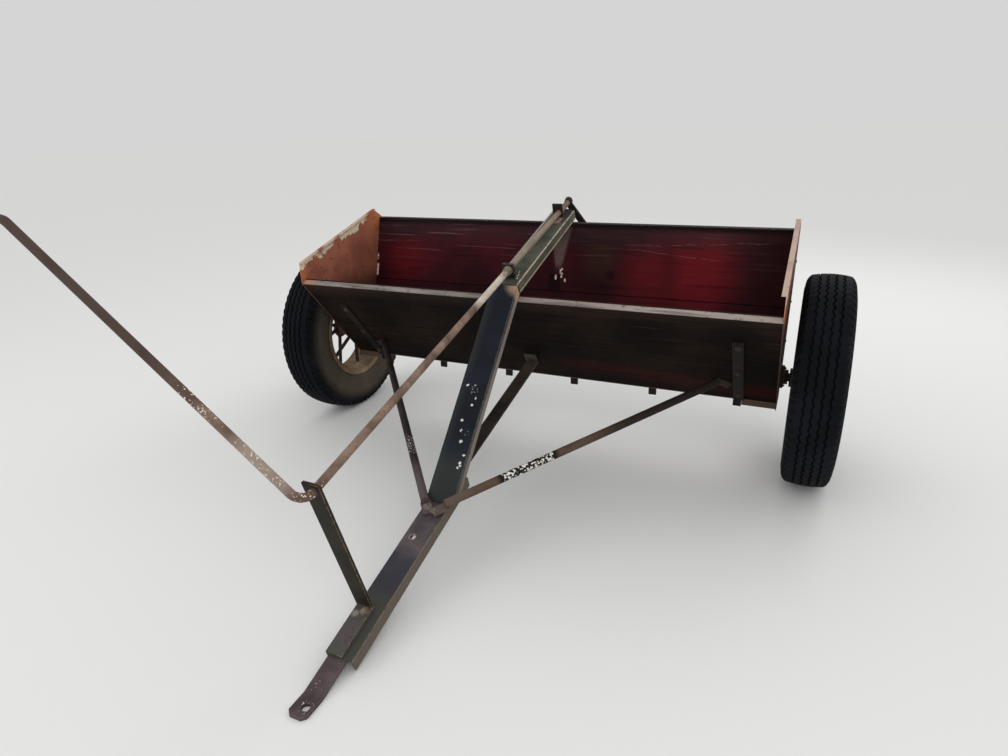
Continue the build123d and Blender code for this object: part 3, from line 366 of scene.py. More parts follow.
steelLook = {
    "web": {"dark": rgb(8, 12, 23), "light": rgb(15, 22, 37), "rust": rgb(42, 40, 42), "rustFrom": 0.61,
            "edge": rgb(150, 144, 132), "edgeSide": 0.0, "edgeShare": 0.5, "rough": 0.42,
            "drifts": (("X", -0.020, -0.058, rgb(50, 54, 52), 0.40), ("Z", 0.42, 0.32, rgb(52, 56, 52), 0.6)),
            "patches": (((0.030, 1.492, 0.930), 0.006, 0.040, rgb(110, 107, 90), 0.9),),
            "flange": {"right": rgb(136, 126, 116), "left": rgb(24, 24, 28), "ridge": rgb(120, 114, 104),
                       "ridgeFrom": 0.0560, "ridgeShare": 0.4, "heel": (*sideView["neckLow"], 46.1, 0.018),
                       "worn": (((0.0590, 1.500, 0.905), 0.010, 0.050, rgb(196, 156, 132), 0.9),)},
            "chip": rgb(216, 217, 214), "chipFrom": 0.605, "chipScale": 150.0,
            "zones": (((0.0, 1.15, 0.575), 0.01, 0.06), ((0.03, 1.02, 0.44), 0.005, 0.04)),
            "flakes": (((-0.009, 1.0545, 0.4757), 0.0060), ((0.000, 1.0256, 0.4458), 0.0050),
                       ((0.014, 0.9949, 0.4138), 0.0068), ((0.044, 0.9579, 0.3754), 0.0050),
                       ((0.037, 0.9341, 0.3507), 0.0066), ((0.041, 0.9262, 0.3421), 0.0055),
                       ((0.034, 0.9202, 0.3361), 0.0050), ((-0.030, 1.1595, 0.5848), 0.0046),
                       ((0.022, 1.1239, 0.5486), 0.0046), ((0.015, 1.1023, 0.5255), 0.0050))},

    "upper": {"dark": rgb(58, 60, 52), "light": rgb(88, 88, 76), "rust": rgb(62, 48, 40), "rustFrom": 0.57,
              "edge": rgb(196, 184, 162), "edgeShare": 0.9, "edgeWidth": 0.006,
              "drifts": (("Y", 2.10, 2.17, rgb(34, 28, 27), 0.8),
                         ("X", -0.046, -0.050, rgb(160, 150, 132), 0.8)),
              "flange": {"right": rgb(84, 83, 71), "left": rgb(50, 46, 42), "ridge": rgb(196, 184, 164),
                         "ridgeFrom": 0.0510, "ridgeShare": 0.95, "heel": (*sideView["neckLow"], 15.838, 0.0),
                         "sole": (0.036, rgb(188, 176, 156))},
              "chip": rgb(222, 216, 204),
              "flakes": (((0.034, 1.548, 0.947), 0.0030), ((0.030, 1.562, 0.951), 0.0030),
                         ((0.027, 1.578, 0.955), 0.0030), ((0.023, 1.595, 0.960), 0.0028),
                         ((0.020, 1.610, 0.964), 0.0026))},

    "drawbar": {"dark": rgb(70, 62, 65), "light": rgb(94, 84, 85), "rust": rgb(80, 58, 48), "rustFrom": 0.59,
                "edge": rgb(140, 124, 102), "edgeShare": 0.6,
                "drifts": (("Y", 0.62, 0.54, rgb(48, 49, 58), 0.85), ("Y", 0.44, 0.36, rgb(66, 67, 60), 0.9),
                           ("Y", 0.79, 0.83, rgb(20, 21, 27), 0.9)),
                "flange": {"right": rgb(98, 88, 78), "left": rgb(44, 38, 36), "ridge": rgb(146, 132, 112),
                           "ridgeFrom": 0.0465, "ridgeShare": 0.6},
                "patches": (((-0.016, 0.644, 0.184), 0.010, 0.008, rgb(150, 142, 136), 0.8),
                            ((-0.048, 0.832, 0.235), 0.008, 0.006, rgb(190, 182, 172), 0.9))},

    "bracket": {"dark": rgb(24, 21, 15), "light": rgb(41, 36, 27), "rust": rgb(64, 44, 31), "rustFrom": 0.58,
                "edge": rgb(190, 160, 120), "edgeShare": 0.9, "edgeSide": -0.019, "edgeWidth": 0.004,
                "drifts": (("Z", 0.125, 0.110, rgb(82, 82, 76), 0.85),),
                "patches": (((-0.035, 0.305, 0.102), 0.006, 0.012, rgb(158, 152, 144), 0.6),
                            ((-0.01, 0.24, 0.08), 0.02, 0.05, rgb(88, 76, 80), 0.6))},

    "hitch": {"dark": rgb(66, 55, 56), "light": rgb(94, 80, 81), "rust": rgb(92, 66, 54), "rustFrom": 0.58,
              "edge": rgb(160, 142, 130), "chip": rgb(200, 192, 184), "chipFrom": 0.61, "chipScale": 150.0,
              "zones": (((0.0, 0.0, 0.012), 0.020, 0.025), ((-0.02, 0.07, 0.02), 0.01, 0.04))},

    "rod": {"dark": rgb(96, 76, 66), "light": rgb(142, 119, 104), "rust": rgb(80, 57, 45), "rustFrom": 0.55,
            "scale": 9.0, "chip": rgb(224, 214, 196), "chipFrom": 0.585, "chipScale": 110.0,
            "zones": (((-0.02, 0.17, 0.63), 0.02, 0.13), ((-0.019, 1.36, 0.94), 0.07, 0.09),
                      ((-0.14, 0.145, 0.728), 0.09, 0.07), ((-0.34, 0.145, 0.88), 0.03, 0.18)),
            "patches": (((-0.03, 0.145, 0.625), 0.03, 0.10, rgb(104, 78, 72), 1.0),
                        ((-0.75, 0.145, 1.19), 0.3, 0.3, rgb(74, 59, 53), 0.9),
                        ((-0.14, 0.145, 0.728), 0.07, 0.08, rgb(172, 156, 142), 0.7),
                        ((-0.019, 1.35, 0.937), 0.09, 0.08, rgb(204, 194, 180), 0.9),
                        ((0.004, 1.80, 1.054), 0.20, 0.12, rgb(150, 138, 122), 0.6))},

    "link": {"dark": rgb(72, 56, 48), "light": rgb(112, 88, 74), "rust": rgb(96, 58, 40), "rustFrom": 0.52,
             "edge": rgb(160, 134, 110), "edgeShare": 0.3},

    "braceLeft": {"dark": rgb(34, 27, 27), "light": rgb(52, 41, 39), "rust": rgb(66, 46, 39),
                  "rustFrom": 0.57, "edge": rgb(140, 112, 92), "edgeShare": 0.4, "chip": rgb(190, 184, 190),
                  "chipFrom": 0.57, "chipScale": 150.0, "zones": (((-0.27, 1.05, 0.33), 0.05, 0.08),),
                  "drifts": (("X", -0.24, -0.12, rgb(96, 82, 84), 0.8),)},

    "braceRight": {"dark": rgb(66, 52, 44), "light": rgb(92, 74, 62), "rust": rgb(80, 56, 44),
                   "rustFrom": 0.57, "edge": rgb(160, 128, 98), "edgeShare": 0.4, "chip": rgb(226, 223, 214),
                   "chipFrom": 0.515, "chipScale": 90.0, "zones": (((0.272, 1.062, 0.326), 0.105, 0.035),),
                   "patches": (((0.27, 1.06, 0.325), 0.11, 0.04, rgb(22, 20, 21), 1.3),),
                   "drifts": (("X", 0.16, 0.10, rgb(98, 84, 75), 0.85),
                              # the far part darker: painted shadow of the hopper
                              ("X", 0.44, 0.60, rgb(34, 27, 23), 0.9))},

    "strut": {"dark": rgb(34, 27, 24), "light": rgb(56, 46, 40), "rust": rgb(66, 46, 36), "rustFrom": 0.57,
              # the top part lighter: painted highlight
              "edge": rgb(112, 94, 80), "drifts": (("Z", 0.40, 0.46, rgb(88, 78, 70), 0.6),)},

    "plate": {"dark": rgb(28, 24, 23), "light": rgb(46, 39, 36), "rust": rgb(80, 54, 42), "rustFrom": 0.58,
              "edge": rgb(120, 98, 80)},
    "frontPlate": {"dark": rgb(22, 20, 20), "light": rgb(34, 30, 29), "rust": rgb(66, 48, 40),
                   "rustFrom": 0.60, "edge": rgb(196, 178, 156), "edgeShare": 0.8,
                   "patches": (((0.0006, 1.533, 0.985), 0.0185, 0.003, rgb(156, 134, 118), 1.0),)},
    "rearPlate": {"dark": rgb(26, 23, 22), "light": rgb(40, 35, 33), "rust": rgb(74, 52, 42),
                  "rustFrom": 0.59, "edge": rgb(150, 128, 108), "edgeShare": 0.6,
                  "drifts": (("Z", 1.124, 1.117, rgb(158, 130, 114), 0.9),)},
    "strap": {"dark": rgb(17, 13, 11), "light": rgb(31, 24, 20), "rust": rgb(46, 31, 24), "rustFrom": 0.56,
              "edge": rgb(74, 60, 50), "edgeShare": 0.4},

    "floor": {"dark": rgb(56, 44, 36), "light": rgb(92, 76, 62), "rust": rgb(112, 66, 42), "rustFrom": 0.50,
              "edge": rgb(140, 118, 96)},
    "hub": {"dark": rgb(60, 44, 36), "light": rgb(92, 69, 55), "rust": rgb(112, 66, 44), "rustFrom": 0.51,
            "edge": rgb(156, 126, 100), "edgeShare": 0.5},
    "spoke": {"dark": rgb(36, 30, 28), "light": rgb(60, 49, 42), "rust": rgb(92, 58, 42), "rustFrom": 0.56},
    "blackStrip": {"dark": rgb(24, 20, 20), "light": rgb(44, 35, 33), "rust": rgb(74, 46, 36),
                   "rustFrom": 0.58, "edge": rgb(98, 80, 70)},
    "bolt": {"dark": rgb(96, 86, 78), "light": rgb(150, 138, 124), "rust": rgb(112, 72, 50), "rustFrom": 0.57,
             "edge": rgb(210, 200, 184), "scale": 22.0, "metal": 0.3, "rough": 0.38, "edgeWidth": 0.0015},
    "darkBolt": {"dark": rgb(42, 34, 31), "light": rgb(68, 54, 46), "rust": rgb(98, 62, 44), "rustFrom": 0.53,
                 "edge": rgb(128, 104, 86), "scale": 22.0, "edgeWidth": 0.0015},
    "weldBead": {"dark": rgb(40, 36, 35), "light": rgb(72, 66, 60), "rust": rgb(92, 62, 46), "rustFrom": 0.54,
                 "edge": rgb(120, 106, 92), "edgeShare": 0.3},
    "brass": {"dark": rgb(110, 86, 46), "light": rgb(156, 128, 74), "rust": rgb(74, 62, 44), "rustFrom": 0.56,
              "edge": rgb(196, 170, 112), "scale": 30.0, "metal": 0.6, "rough": 0.35, "edgeWidth": 0.001},
}


# the front board's edge strip: bleached pinkish grey with long thin streaks, orange at its left end
stripLook = {
    "left": rgb(132, 124, 118), "right": rgb(156, 142, 137), "pale": rgb(172, 162, 154),
    "streak": rgb(92, 80, 75), "fleck": rgb(74, 64, 58), "orange": rgb(184, 132, 104),
    "worn": rgb(92, 74, 66),
}


def stripFinish(name, look):
    f = Finish(name)
    x = f.axis("X")
    broad = f.noise(5.0, 5, 0.6, stretch=(0.6, 1, 1))
    fine = f.noise(58.0, 6, 0.66, stretch=(0.7, 1, 1))
    streaks = f.noise(70.0, 4, 0.6, stretch=(0.06, 1, 1), shift=(2, 0, 5))
    color = f.mix(x.above(-0.3, 0.6), look["left"], look["right"])
    color = f.mix(broad.above(0.42, 0.66) * 0.5, color, look["pale"])
    color = f.mix(streaks.above(0.46, 0.64) * 0.6, color, look["streak"])
    flecks = (fine + x.below(-0.5, 0.3) * 0.03).above(0.59, 0.65)
    color = f.mix(flecks * 0.6, color, look["fleck"])
    color = f.mix(x.below(-1.10, -1.03) * (0.6 + broad * 0.5), color, look["orange"])
    color = f.mix(f.edge(0.002) * fine.above(0.45, 0.6) * 0.5, color, look["worn"])
    return f.done(color, 0.6 + fine * 0.2, fine * 0.6 + streaks * 0.4 - flecks * 0.4, 0.0018, ease=0.0012)


# tyres: near-black tread, browner walls, dust round the rim and mud on the walls that face the hopper
tyreLook = {
    "tread": rgb(9, 11, 16), "treadLight": rgb(18, 20, 26), "wall": rgb(14, 14, 18),
    "wallLight": rgb(26, 25, 27), "dust": rgb(92, 82, 69), "ribs": 900.0,
}


def tyreFinish(name, look):
    f = Finish(name)
    radius = f.fromAxle()
    broad = f.noise(6.0, 5, 0.6)
    fine = f.noise(90.0, 5, 0.6)
    color = f.mix(broad.above(0.4, 0.65), look["tread"], look["treadLight"])
    side = radius.below(0.425, 0.446)
    color = f.mix(side, color, f.mix(broad.above(0.38, 0.62), look["wall"], look["wallLight"]))
    inner = abs(f.axis("X")).below(1.275, 1.285)
    dust = radius.below(0.275, 0.335) * (0.35 + broad * 0.6) + fine.above(0.56, 0.7) * side * 0.18
    dust = dust.orMore(inner * radius.below(0.36, 0.43) * (0.35 + broad * 0.6))
    color = f.mix(dust, color, look["dust"])
    ribs = (radius * look["ribs"]).sine() * side
    cracks = f.cellBorders(55.0, (0.4, 1, 1)).below(0.0, 0.05) * side
    height = fine * 0.35 + ribs * 0.06 - cracks * 0.3
    return f.done(color, 0.72 + fine * 0.15, height, 0.0010, specular=0.12)


# rims: dusty tan paint with faint rings and rust
rimLook = {
    "paint": rgb(104, 86, 68), "pale": rgb(146, 126, 100), "ring": rgb(72, 56, 44), "rust": rgb(94, 62, 46),
    "worn": rgb(172, 152, 124), "rings": 700.0,
}


def rimFinish(name, look):
    f = Finish(name)
    broad = f.noise(6.0, 5, 0.6)
    fine = f.noise(60.0, 6, 0.66)
    rings = (f.fromAxle() * look["rings"] + broad * 3.0).sine()
    color = f.mix(broad.above(0.36, 0.64), look["paint"], look["pale"])
    color = f.mix(rings.above(0.2, 0.9) * 0.35, color, look["ring"])
    color = f.mix(fine.above(0.53, 0.64) * 0.7, color, look["rust"])
    color = f.mix(f.edge(0.003) * 0.4, color, look["worn"])
    return f.done(color, 0.7 + fine * 0.15, fine, 0.0012, ease=0.0012)


finishes = {
    "backBoard": boardFinish("backBoard", boardLook, -1.0, boardLook["backSeam"], True),
    "frontBoard": boardFinish("frontBoard", boardLook, 1.0, boardLook["frontSeam"], False),
    "endLeft": endFinish("endLeft", endLook, -1), "endRight": endFinish("endRight", endLook, 1),
    "frontStrip": stripFinish("frontStrip", stripLook), "tyre": tyreFinish("tyre", tyreLook),
    "rim": rimFinish("rim", rimLook),
}
for key, look in steelLook.items():
    finishes[key] = steelFinish(key, look)
nodeFinish = {
    "back_board_lower": "backBoard", "back_board_upper": "backBoard",
    "front_board_lower": "frontBoard", "front_board_upper": "frontBoard",
    "front_edge_strip": "frontStrip", "back_edge_strip": "blackStrip",
    "end_panel_left": "endLeft", "end_panel_right": "endRight",
    "board_strap_left": "strap", "board_strap_right": "strap",
    "hopper_floor": "floor", "shutter_hangers": "strap", "shutter_plate": "floor", "shutter_lug": "floor",
    "gooseneck_upper": "upper", "gooseneck_lower": "web", "gooseneck_post": "plate",
    "drawbar": "drawbar", "hitch_plate": "hitch", "rod_bracket": "bracket",
    "front_rod_plate": "frontPlate", "rear_rod_plate": "rearPlate",
    "brace_left": "braceLeft", "brace_right": "braceRight", "centre_strut": "strut",
    "control_rod": "rod", "rod_collars": "bolt", "crank_arm": "plate", "crank_pin": "bolt",
    "link_rod": "link",
    "axle_shaft": "hub", "agitator_fingers": "floor", "axle_bearing_left": "hub", "axle_bearing_right": "hub",
    "hub_left": "hub", "hub_right": "hub", "spokes_left": "spoke", "spokes_right": "spoke",
    "rim_left": "rim", "rim_right": "rim", "tyre_left": "tyre", "tyre_right": "tyre",
}
for node, key in nodeFinish.items():
    shell = nodes[node]
    shell.data.materials.clear()
    shell.data.materials.append(finishes[key])
print("finishes:", len(finishes), "on", len(nodeFinish), "nodes")


# a mesh piece that rides on a body
def addPiece(name, points, faces, body, finish, sharp, instead=()):  # sharp: degrees
    mesh = bpy.data.meshes.new(name)
    mesh.from_pydata([tuple(point) for point in points], [], faces)
    mesh.polygons.foreach_set("use_smooth", [True] * len(mesh.polygons))
    mesh.set_sharp_from_angle(angle=math.radians(sharp))
    mesh.materials.append(finishes[finish])
    piece = bpy.data.objects.new(name, mesh)
    scene.collection.objects.link(piece)
    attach(piece, body)
    if instead:
        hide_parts(*instead)
    return piece


# tyres: zigzag grooves, notched shoulders, ribbed walls; they stand on the CAD tyre's outline
tyreShape = {
    "radius": 0.468, "crownDrop": 0.0095, "crownHalf": 0.082,  # how much the tread falls, this far out
    "steps": 360, "pitch": 5,  # slices round the tyre, and slices in one zigzag
    "grooves": (-0.046, -0.0155, 0.0155, 0.046), "grooveHalf": 0.0046, "grooveDepth": 0.009,
    "grooveTaper": 0.0012, "zigzag": 0.0034, "shoulder": 0.078, "notch": 0.0065,
    # outlines as (across, radius): the ribbed wall outwards, the shoulder's lugs and the inside
    "wall": ((0.0800, 0.2565), (0.0843, 0.2726), (0.0872, 0.2790), (0.0900, 0.2815), (0.0936, 0.2930),
             (0.0962, 0.3040), (0.0985, 0.3065), (0.0990, 0.3100), (0.0990, 0.3200), (0.1010, 0.3400),
             (0.1018, 0.3580), (0.1018, 0.3780), (0.1008, 0.3960), (0.1019, 0.3985), (0.1019, 0.4020),
             (0.1002, 0.4045), (0.0990, 0.4170)),
    "lug": ((0.0978, 0.4260), (0.0955, 0.4350), (0.0905, 0.4450), (0.0850, 0.4530), (0.0805, 0.4562)),
    "inside": ((0.062, 0.2585), (0.070, 0.300), (0.086, 0.36), (0.078, 0.41)), "insideTop": (0.0, 0.44),
}


def crown(across):
    return tyreShape["radius"] - tyreShape["crownDrop"] * (across / tyreShape["crownHalf"]) ** 2


def wheelPoint(x, radius, turn):
    return (x, axleY + radius * math.cos(turn), axleZ + radius * math.sin(turn))


def mirrored(outline):
    return [(-across, radius) for across, radius in reversed(outline)]


def makeTyre(name, centre, body, instead):
    s = tyreShape
    points, faces = [], []
    for step in range(s["steps"]):
        turn = 2 * math.pi * step / s["steps"]
        beat = step % s["pitch"]
        swing = s["zigzag"] * math.sin(2 * math.pi * beat / s["pitch"])
        cut = s["notch"] if beat in (0, 1) else 0.0
        half = [(s["shoulder"], crown(s["shoulder"]) - cut * 0.4)]
        half += [(across - cut * 0.5, radius - cut) for across, radius in reversed(s["lug"])]
        half += reversed(s["wall"])
        row = mirrored(half)
        for groove in s["grooves"]:
            left, right = groove + swing - s["grooveHalf"], groove + swing + s["grooveHalf"]
            row += [(left, crown(left)), (left + s["grooveTaper"], crown(left) - s["grooveDepth"]),
                    (right - s["grooveTaper"], crown(right) - s["grooveDepth"]), (right, crown(right))]
        row += [*half, *s["inside"], s["insideTop"], *mirrored(s["inside"])]
        points += [wheelPoint(centre + across, radius, turn) for across, radius in row]
        count = len(row)
    for step in range(s["steps"]):
        here, there = step * count, (step + 1) % s["steps"] * count
        for place in range(count):
            after = (place + 1) % count
            faces.append((here + place, here + after, there + after, there + place))
    return addPiece(name, points, faces, body, "tyre", 32.0, instead)


for side, end, body in wheelSides:
    makeTyre("treadTyre" + end, side * wheelX, body, ("tyre_" + end.lower(),))
print("tyres made")


# rings of points round an axis, stacked up into closed shapes
def frameOf(normal, turn):
    up = Vector(normal).normalized()
    side = up.orthogonal().normalized()
    side.rotate(Matrix.Rotation(turn, 3, up))
    return up, side, up.cross(side)


def ringPoints(centre, basis, radius, lift, count):
    up, side, across = basis
    return [centre + up * lift + side * (radius * math.cos(2 * math.pi * k / count))
            + across * (radius * math.sin(2 * math.pi * k / count)) for k in range(count)]


def stackRings(points, faces, rings, closed=True):
    count = len(rings[0])
    start = len(points)
    for ring in rings:
        points += ring
    for level in range(len(rings) - 1):
        for k in range(count):
            a, b = start + level * count + k, start + level * count + (k + 1) % count
            faces.append((a, b, b + count, a + count))
    if closed:
        faces.append(tuple(start + (len(rings) - 1) * count + k for k in range(count)))


# hex heads on washers, joined into one mesh; places are (point, the way out of the face)
def addBolts(name, body, places, finish, size, height=0.008):
    points, faces = [], []
    for number, (place, normal) in enumerate(places):
        basis = frameOf(normal, number * 0.7)
        centre = Vector(place)
        washer = [(size * 1.42, -0.001), (size * 1.42, 0.0014), (size * 1.3, 0.002), (size * 0.9, 0.002)]
        stackRings(points, faces, [ringPoints(centre, basis, r, h, 16) for r, h in washer])
        head = [(size, 0.001), (size, height * 0.78), (size * 0.82, height)]
        stackRings(points, faces, [ringPoints(centre, basis, r, h, 6) for r, h in head])
        stud = [(size * 0.45, height * 0.5), (size * 0.45, height * 1.35), (size * 0.36, height * 1.5)]
        stackRings(points, faces, [ringPoints(centre, basis, r, h, 10) for r, h in stud])
    return addPiece(name, points, faces, body, finish, 30.0)


# low round heads, joined into one mesh
def addDomes(name, body, places, size):
    points, faces = [], []
    for number, (place, normal) in enumerate(places):
        basis = frameOf(normal, number * 0.9)
        rings = [(size, -0.001), (size * 0.97, 0.0012), (size * 0.8, size * 0.28), (size * 0.5, size * 0.42),
                 (size * 0.2, size * 0.48)]
        stackRings(points, faces, [ringPoints(Vector(place), basis, r, h, 16) for r, h in rings])
    return addPiece(name, points, faces, body, "darkBolt", 40.0)


# lumpy weld beads along straight runs
def addWelds(name, body, runs, radius, count=8):
    points, faces = [], []
    for start, end in runs:
        a, b = Vector(start), Vector(end)
        length = (b - a).length
        basis = frameOf(b - a, 0.4)
        steps = max(4, int(length / 0.0028))
        rings = []
        for step in range(steps + 1):
            place = a.lerp(b, step / steps)
            lump = 0.88 + 0.22 * noise.noise(place * 160) + 0.10 * (step % 2)
            taper = 0.35 if step in (0, steps) else 1.0
            rings.append(ringPoints(place, basis, radius * lump * taper, 0.0, count))
        stackRings(points, faces, rings)
        faces.append(tuple(len(points) - len(rings) * count + k for k in reversed(range(count))))
    return addPiece(name, points, faces, body, "weldBead", 60.0)


# bolts and domes stand on the faces of the boards and bars
def facePoint(face, x, distance, lift):  # up a face by a distance and out of it by lift
    low, up, out = (sideView[face + name] for name in ("Low", "Up", "Out"))
    return (x, low[0] + up[0] * distance + out[0] * lift, low[1] + up[1] * distance + out[1] * lift)


def onFace(face, *places):  # each place is (x, distance, lift); gives points with the way out of the face
    return [(facePoint(face, *place), (0.0, *sideView[face + "Out"])) for place in places]


boltPlaces = {
    # each as (x, distance up the face, lift out of it)
    "drawbar": ((-0.008, 0.164, 0.010), (0.012, 0.623, 0.016), (-0.030, 0.640, 0.008)),
    "neck": (0.000, 0.655, 0.006), "strut": (-0.008, 0.150, 0.010),
    # x, distances up the board, and the lift of what both lie on
    "strapX": 0.968, "strapUp": (0.045, 0.235, 0.430), "braceX": 0.916, "braceUp": 0.122, "metalLift": 0.008,
    "boardMiddle": 0.0175,  # half a board
    "endX": 1.130, "frontEnd": (0.06, 0.22, 0.38, 0.55), "backEnd": (0.06, 0.24, 0.42, 0.60),
    "bearingX": 1.142, "bearingCircle": 0.0430, "bearingBolts": 4,
    "backStrip": (2.171, 1.0849), "nailX": (0.14, 0.42, 0.72, 1.02),  # the strip's edge and top (y, z)
}


def addAllBolts(at):
    addBolts("drawbarBolts", "chassis", onFace("bar", *at["drawbar"]), "bolt", 0.0115, 0.009)
    addBolts("neckBolts", "chassis", onFace("neck", at["neck"]), "darkBolt", 0.0100)
    outside, inside = [], []
    for side in (-1, 1):
        for distance in at["strapUp"]:
            outside += onFace("board", (side * at["strapX"], distance, at["metalLift"]))
            point, out = onFace("board", (side * at["strapX"], distance, -2 * at["boardMiddle"]))[0]
            inside.append((point, tuple(-v for v in out)))
    outside += onFace("board", *((side * at["braceX"], at["braceUp"], at["metalLift"]) for side in (-1, 1)))
    outside += onFace("board", at["strut"])
    addBolts("boardBolts", "chassis", outside, "darkBolt", 0.0095)
    ends = []
    for side in (-1, 1):  # into the end grain of the front board, then of the back board
        ends += [(facePoint("board", side * at["endX"], distance, -at["boardMiddle"]), (side, 0, 0))
                 for distance in at["frontEnd"]]
        ends += [(facePoint("back", side * at["endX"], distance, at["boardMiddle"]), (side, 0, 0))
                 for distance in at["backEnd"]]
    addDomes("endPanelRivets", "chassis", ends, 0.0065)
    addDomes("carriageHeads", "chassis", inside, 0.0110)
    turns = [math.radians(45 + 90 * corner) for corner in range(at["bearingBolts"])]
    bearings = [(wheelPoint(side * at["bearingX"], at["bearingCircle"], turn), (side, 0, 0))
                for side in (-1, 1) for turn in turns]
    addBolts("bearingBolts", "chassis", bearings, "darkBolt", 0.0058, 0.006)
    nails = [*(-x for x in reversed(at["nailX"])), *at["nailX"]]
    edgeY, topZ = at["backStrip"]
    nails = [((x, edgeY + at["boardMiddle"], topZ), (0, 0, 1)) for x in nails]
    addDomes("backStripNails", "chassis", nails, 0.0045)


addAllBolts(boltPlaces)
print("bolts and rivets made")


# axle nuts on their washers, and valve stems; rings are (radius, lift)
nutShape = {"faceX": 1.338,
            "washer": ((0.0195, 0.0003), (0.0330, 0.0003), (0.0330, 0.0028), (0.0195, 0.0028)),
            "nut": ((0.0300, 0.0028), (0.0300, 0.0135), (0.0270, 0.0150), (0.0195, 0.0150))}
stemShape = {"turn": 1.1, "rings": ((0.0050, 0.2265), (0.0050, 0.2120), (0.0040, 0.2110), (0.0040, 0.1960),
                                    (0.0046, 0.1955), (0.0046, 0.1880), (0.0030, 0.1870))}


def addAxleNut(name, side, body, shape):
    points, faces = [], []
    basis = frameOf((side, 0, 0), 0.3)
    centre = Vector((side * shape["faceX"], axleY, axleZ))
    for count, rings in ((32, shape["washer"]), (6, shape["nut"])):
        stackRings(points, faces, [ringPoints(centre, basis, r, h, count) for r, h in rings], False)
    return addPiece(name, points, faces, body, "hub", 30.0)


def addStem(name, side, body, shape):
    points, faces = [], []
    basis = frameOf((0, math.cos(shape["turn"]), math.sin(shape["turn"])), 0.0)
    centre = Vector((side * wheelX, axleY, axleZ))
    stackRings(points, faces, [ringPoints(centre, basis, r, h, 12) for r, h in shape["rings"]])
    return addPiece(name, points, faces, body, "brass", 40.0)


for side, end, body in wheelSides:
    addAxleNut("axleNut" + end, side, body, nutShape)
    addStem("valveStem" + end, side, body, stemShape)


# weld beads: straight runs on the gooseneck, and rings round the rod's end and the spokes' feet
weldPlaces = {
    "neck": (((-0.058, 1.4925, 0.9312), (0.058, 1.4925, 0.9312)),  # the knee, across the web
             ((0.0592, 1.4945, 0.9285), (0.0592, 1.5155, 0.8925)),  # and down its sides
             ((-0.0592, 1.4945, 0.9285), (-0.0592, 1.5155, 0.8925)),
             ((-0.050, 0.8200, 0.2326), (0.050, 0.8200, 0.2326)),  # its foot on the drawbar
             ((-0.0240, 1.5395, 0.9446), (0.0270, 1.5395, 0.9446)),  # the front rod plate's two sides
             ((-0.0240, 1.5512, 0.9478), (0.0270, 1.5512, 0.9478))),
    "crank": (0.0090, 2.2930, 1.1857), "rodWay": (0.0117, 0.9678, 0.2514), "crankRadius": 0.0190,
    "hubRadius": 0.0595, "hubX": (-0.048, 0.048), "spokes": 12, "spokeStart": 8.0, "spokeRadius": 0.0098,
    "neckBead": 0.004, "crankBead": 0.0030, "spokeBead": 0.0026,  # the beads' own radii
}


def circleRuns(centre, axis, radius, count):
    ring = ringPoints(Vector(centre), frameOf(axis, 0.0), radius, 0.0, count)
    return [(ring[k], ring[(k + 1) % count]) for k in range(count)]


def addAllWelds(at):
    addWelds("neckWelds", "chassis", at["neck"], at["neckBead"])
    crank = circleRuns(at["crank"], at["rodWay"], at["crankRadius"], 14)
    addWelds("crankWeld", "control", crank, at["crankBead"])
    for side, end, body in wheelSides:
        runs = []
        for index in range(at["spokes"]):  # where each spoke meets its hub ring
            turn = math.radians(360.0 / at["spokes"] * index + at["spokeStart"])
            middle = wheelPoint(side * wheelX + at["hubX"][index % 2], at["hubRadius"], turn)
            runs += circleRuns(middle, (0, math.cos(turn), math.sin(turn)), at["spokeRadius"], 9)
        addWelds("spokeWelds" + end, body, runs, at["spokeBead"])


addAllWelds(weldPlaces)
print("nuts, stems and welds made")


# camera at the photograph's place, its angles in radians
cameraView = {"place": (1.196, -1.044, 1.615), "yaw": -0.448, "pitch": 0.380, "roll": 0.042,
              "lens": 23.57, "sensor": 36.0, "farthest": 200.0}


def addCamera(view):
    yaw, pitch, roll = view["yaw"], view["pitch"], view["roll"]
    ahead = Vector((math.sin(yaw) * math.cos(pitch), math.cos(yaw) * math.cos(pitch), -math.sin(pitch)))
    level = Vector((math.cos(yaw), -math.sin(yaw), 0.0))
    down = ahead.cross(level)
    right = level * math.cos(roll) + down * math.sin(roll)
    up = level * math.sin(roll) - down * math.cos(roll)
    data = bpy.data.cameras.new("camera")
    data.lens = view["lens"]
    data.sensor_width = view["sensor"]
    data.clip_end = view["farthest"]
    camera = bpy.data.objects.new("camera", data)
    turned = Matrix((right, up, -ahead)).transposed().to_4x4()
    camera.matrix_world = Matrix.Translation(view["place"]) @ turned
    scene.collection.objects.link(camera)
    scene.camera = camera


addCamera(cameraView)


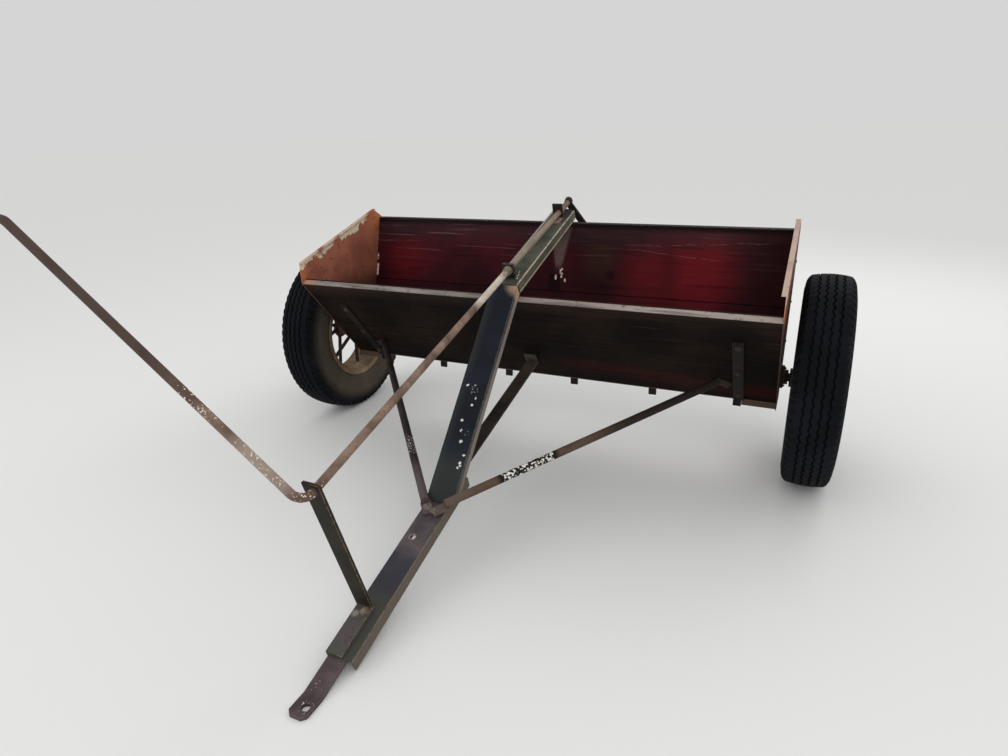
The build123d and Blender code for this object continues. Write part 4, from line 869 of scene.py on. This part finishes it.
# studio: pale floor, plain world, three soft lamps as (place, size, watts)
studio = {
    "floor": rgb(238, 238, 237), "floorReach": 60.0, "backdrop": rgb(213, 213, 213), "worldLight": 0.78,
    "lamps": (((3.2, -3.0, 4.2), 3.0, 40.0), ((-3.8, -2.2, 3.4), 3.4, 26.0), ((1.8, 5.6, 4.0), 3.0, 44.0)),
    "lampsAim": (0.0, 1.4, 0.4),
}


def addWorld(look):  # white light, with a grey backdrop wherever the camera looks past the floor
    world = bpy.data.worlds.new("studio")
    scene.world = world
    world.use_nodes = True
    world.node_tree.nodes.clear()
    new, link = world.node_tree.nodes.new, world.node_tree.links.new
    ray = new("ShaderNodeLightPath")
    seen, clear = new("ShaderNodeMath"), new("ShaderNodeMath")
    seen.operation = clear.operation = "MAXIMUM"
    light, shown = new("ShaderNodeBackground"), new("ShaderNodeBackground")
    light.inputs[0].default_value = (1.0, 1.0, 1.0, 1.0)
    light.inputs[1].default_value = look["worldLight"]
    shown.inputs[0].default_value = (*look["backdrop"], 1.0)
    blend = new("ShaderNodeMixShader")
    out = new("ShaderNodeOutputWorld")
    link(ray.outputs["Is Camera Ray"], seen.inputs[0])
    link(ray.outputs["Is Glossy Ray"], seen.inputs[1])
    link(seen.outputs[0], clear.inputs[0])
    link(ray.outputs["Is Transmission Ray"], clear.inputs[1])
    link(clear.outputs[0], blend.inputs[0])
    link(light.outputs[0], blend.inputs[1])
    link(shown.outputs[0], blend.inputs[2])
    link(blend.outputs[0], out.inputs[0])


def addStudio(look):
    for number, (place, size, power) in enumerate(look["lamps"]):
        data = bpy.data.lights.new("lamp" + str(number), "AREA")
        data.size = size
        data.energy = power
        lamp = bpy.data.objects.new("lamp" + str(number), data)
        lamp.location = place
        aim = Vector(look["lampsAim"]) - Vector(place)
        lamp.rotation_euler = aim.to_track_quat("-Z", "Y").to_euler()
        scene.collection.objects.link(lamp)
    mesh = bpy.data.meshes.new("floor")
    reach = look["floorReach"]
    corners = [(-reach, -reach, 0), (reach, -reach, 0), (reach, reach, 0), (-reach, reach, 0)]
    mesh.from_pydata(corners, [], [(0, 1, 2, 3)])
    mesh.materials.append(Finish("floorPaint").done(look["floor"], 0.9, specular=0.1))
    floor = bpy.data.objects.new("floor", mesh)
    scene.collection.objects.link(floor)


addWorld(studio)
addStudio(studio)
scene.view_settings.view_transform = "Standard"
print("camera and studio set")
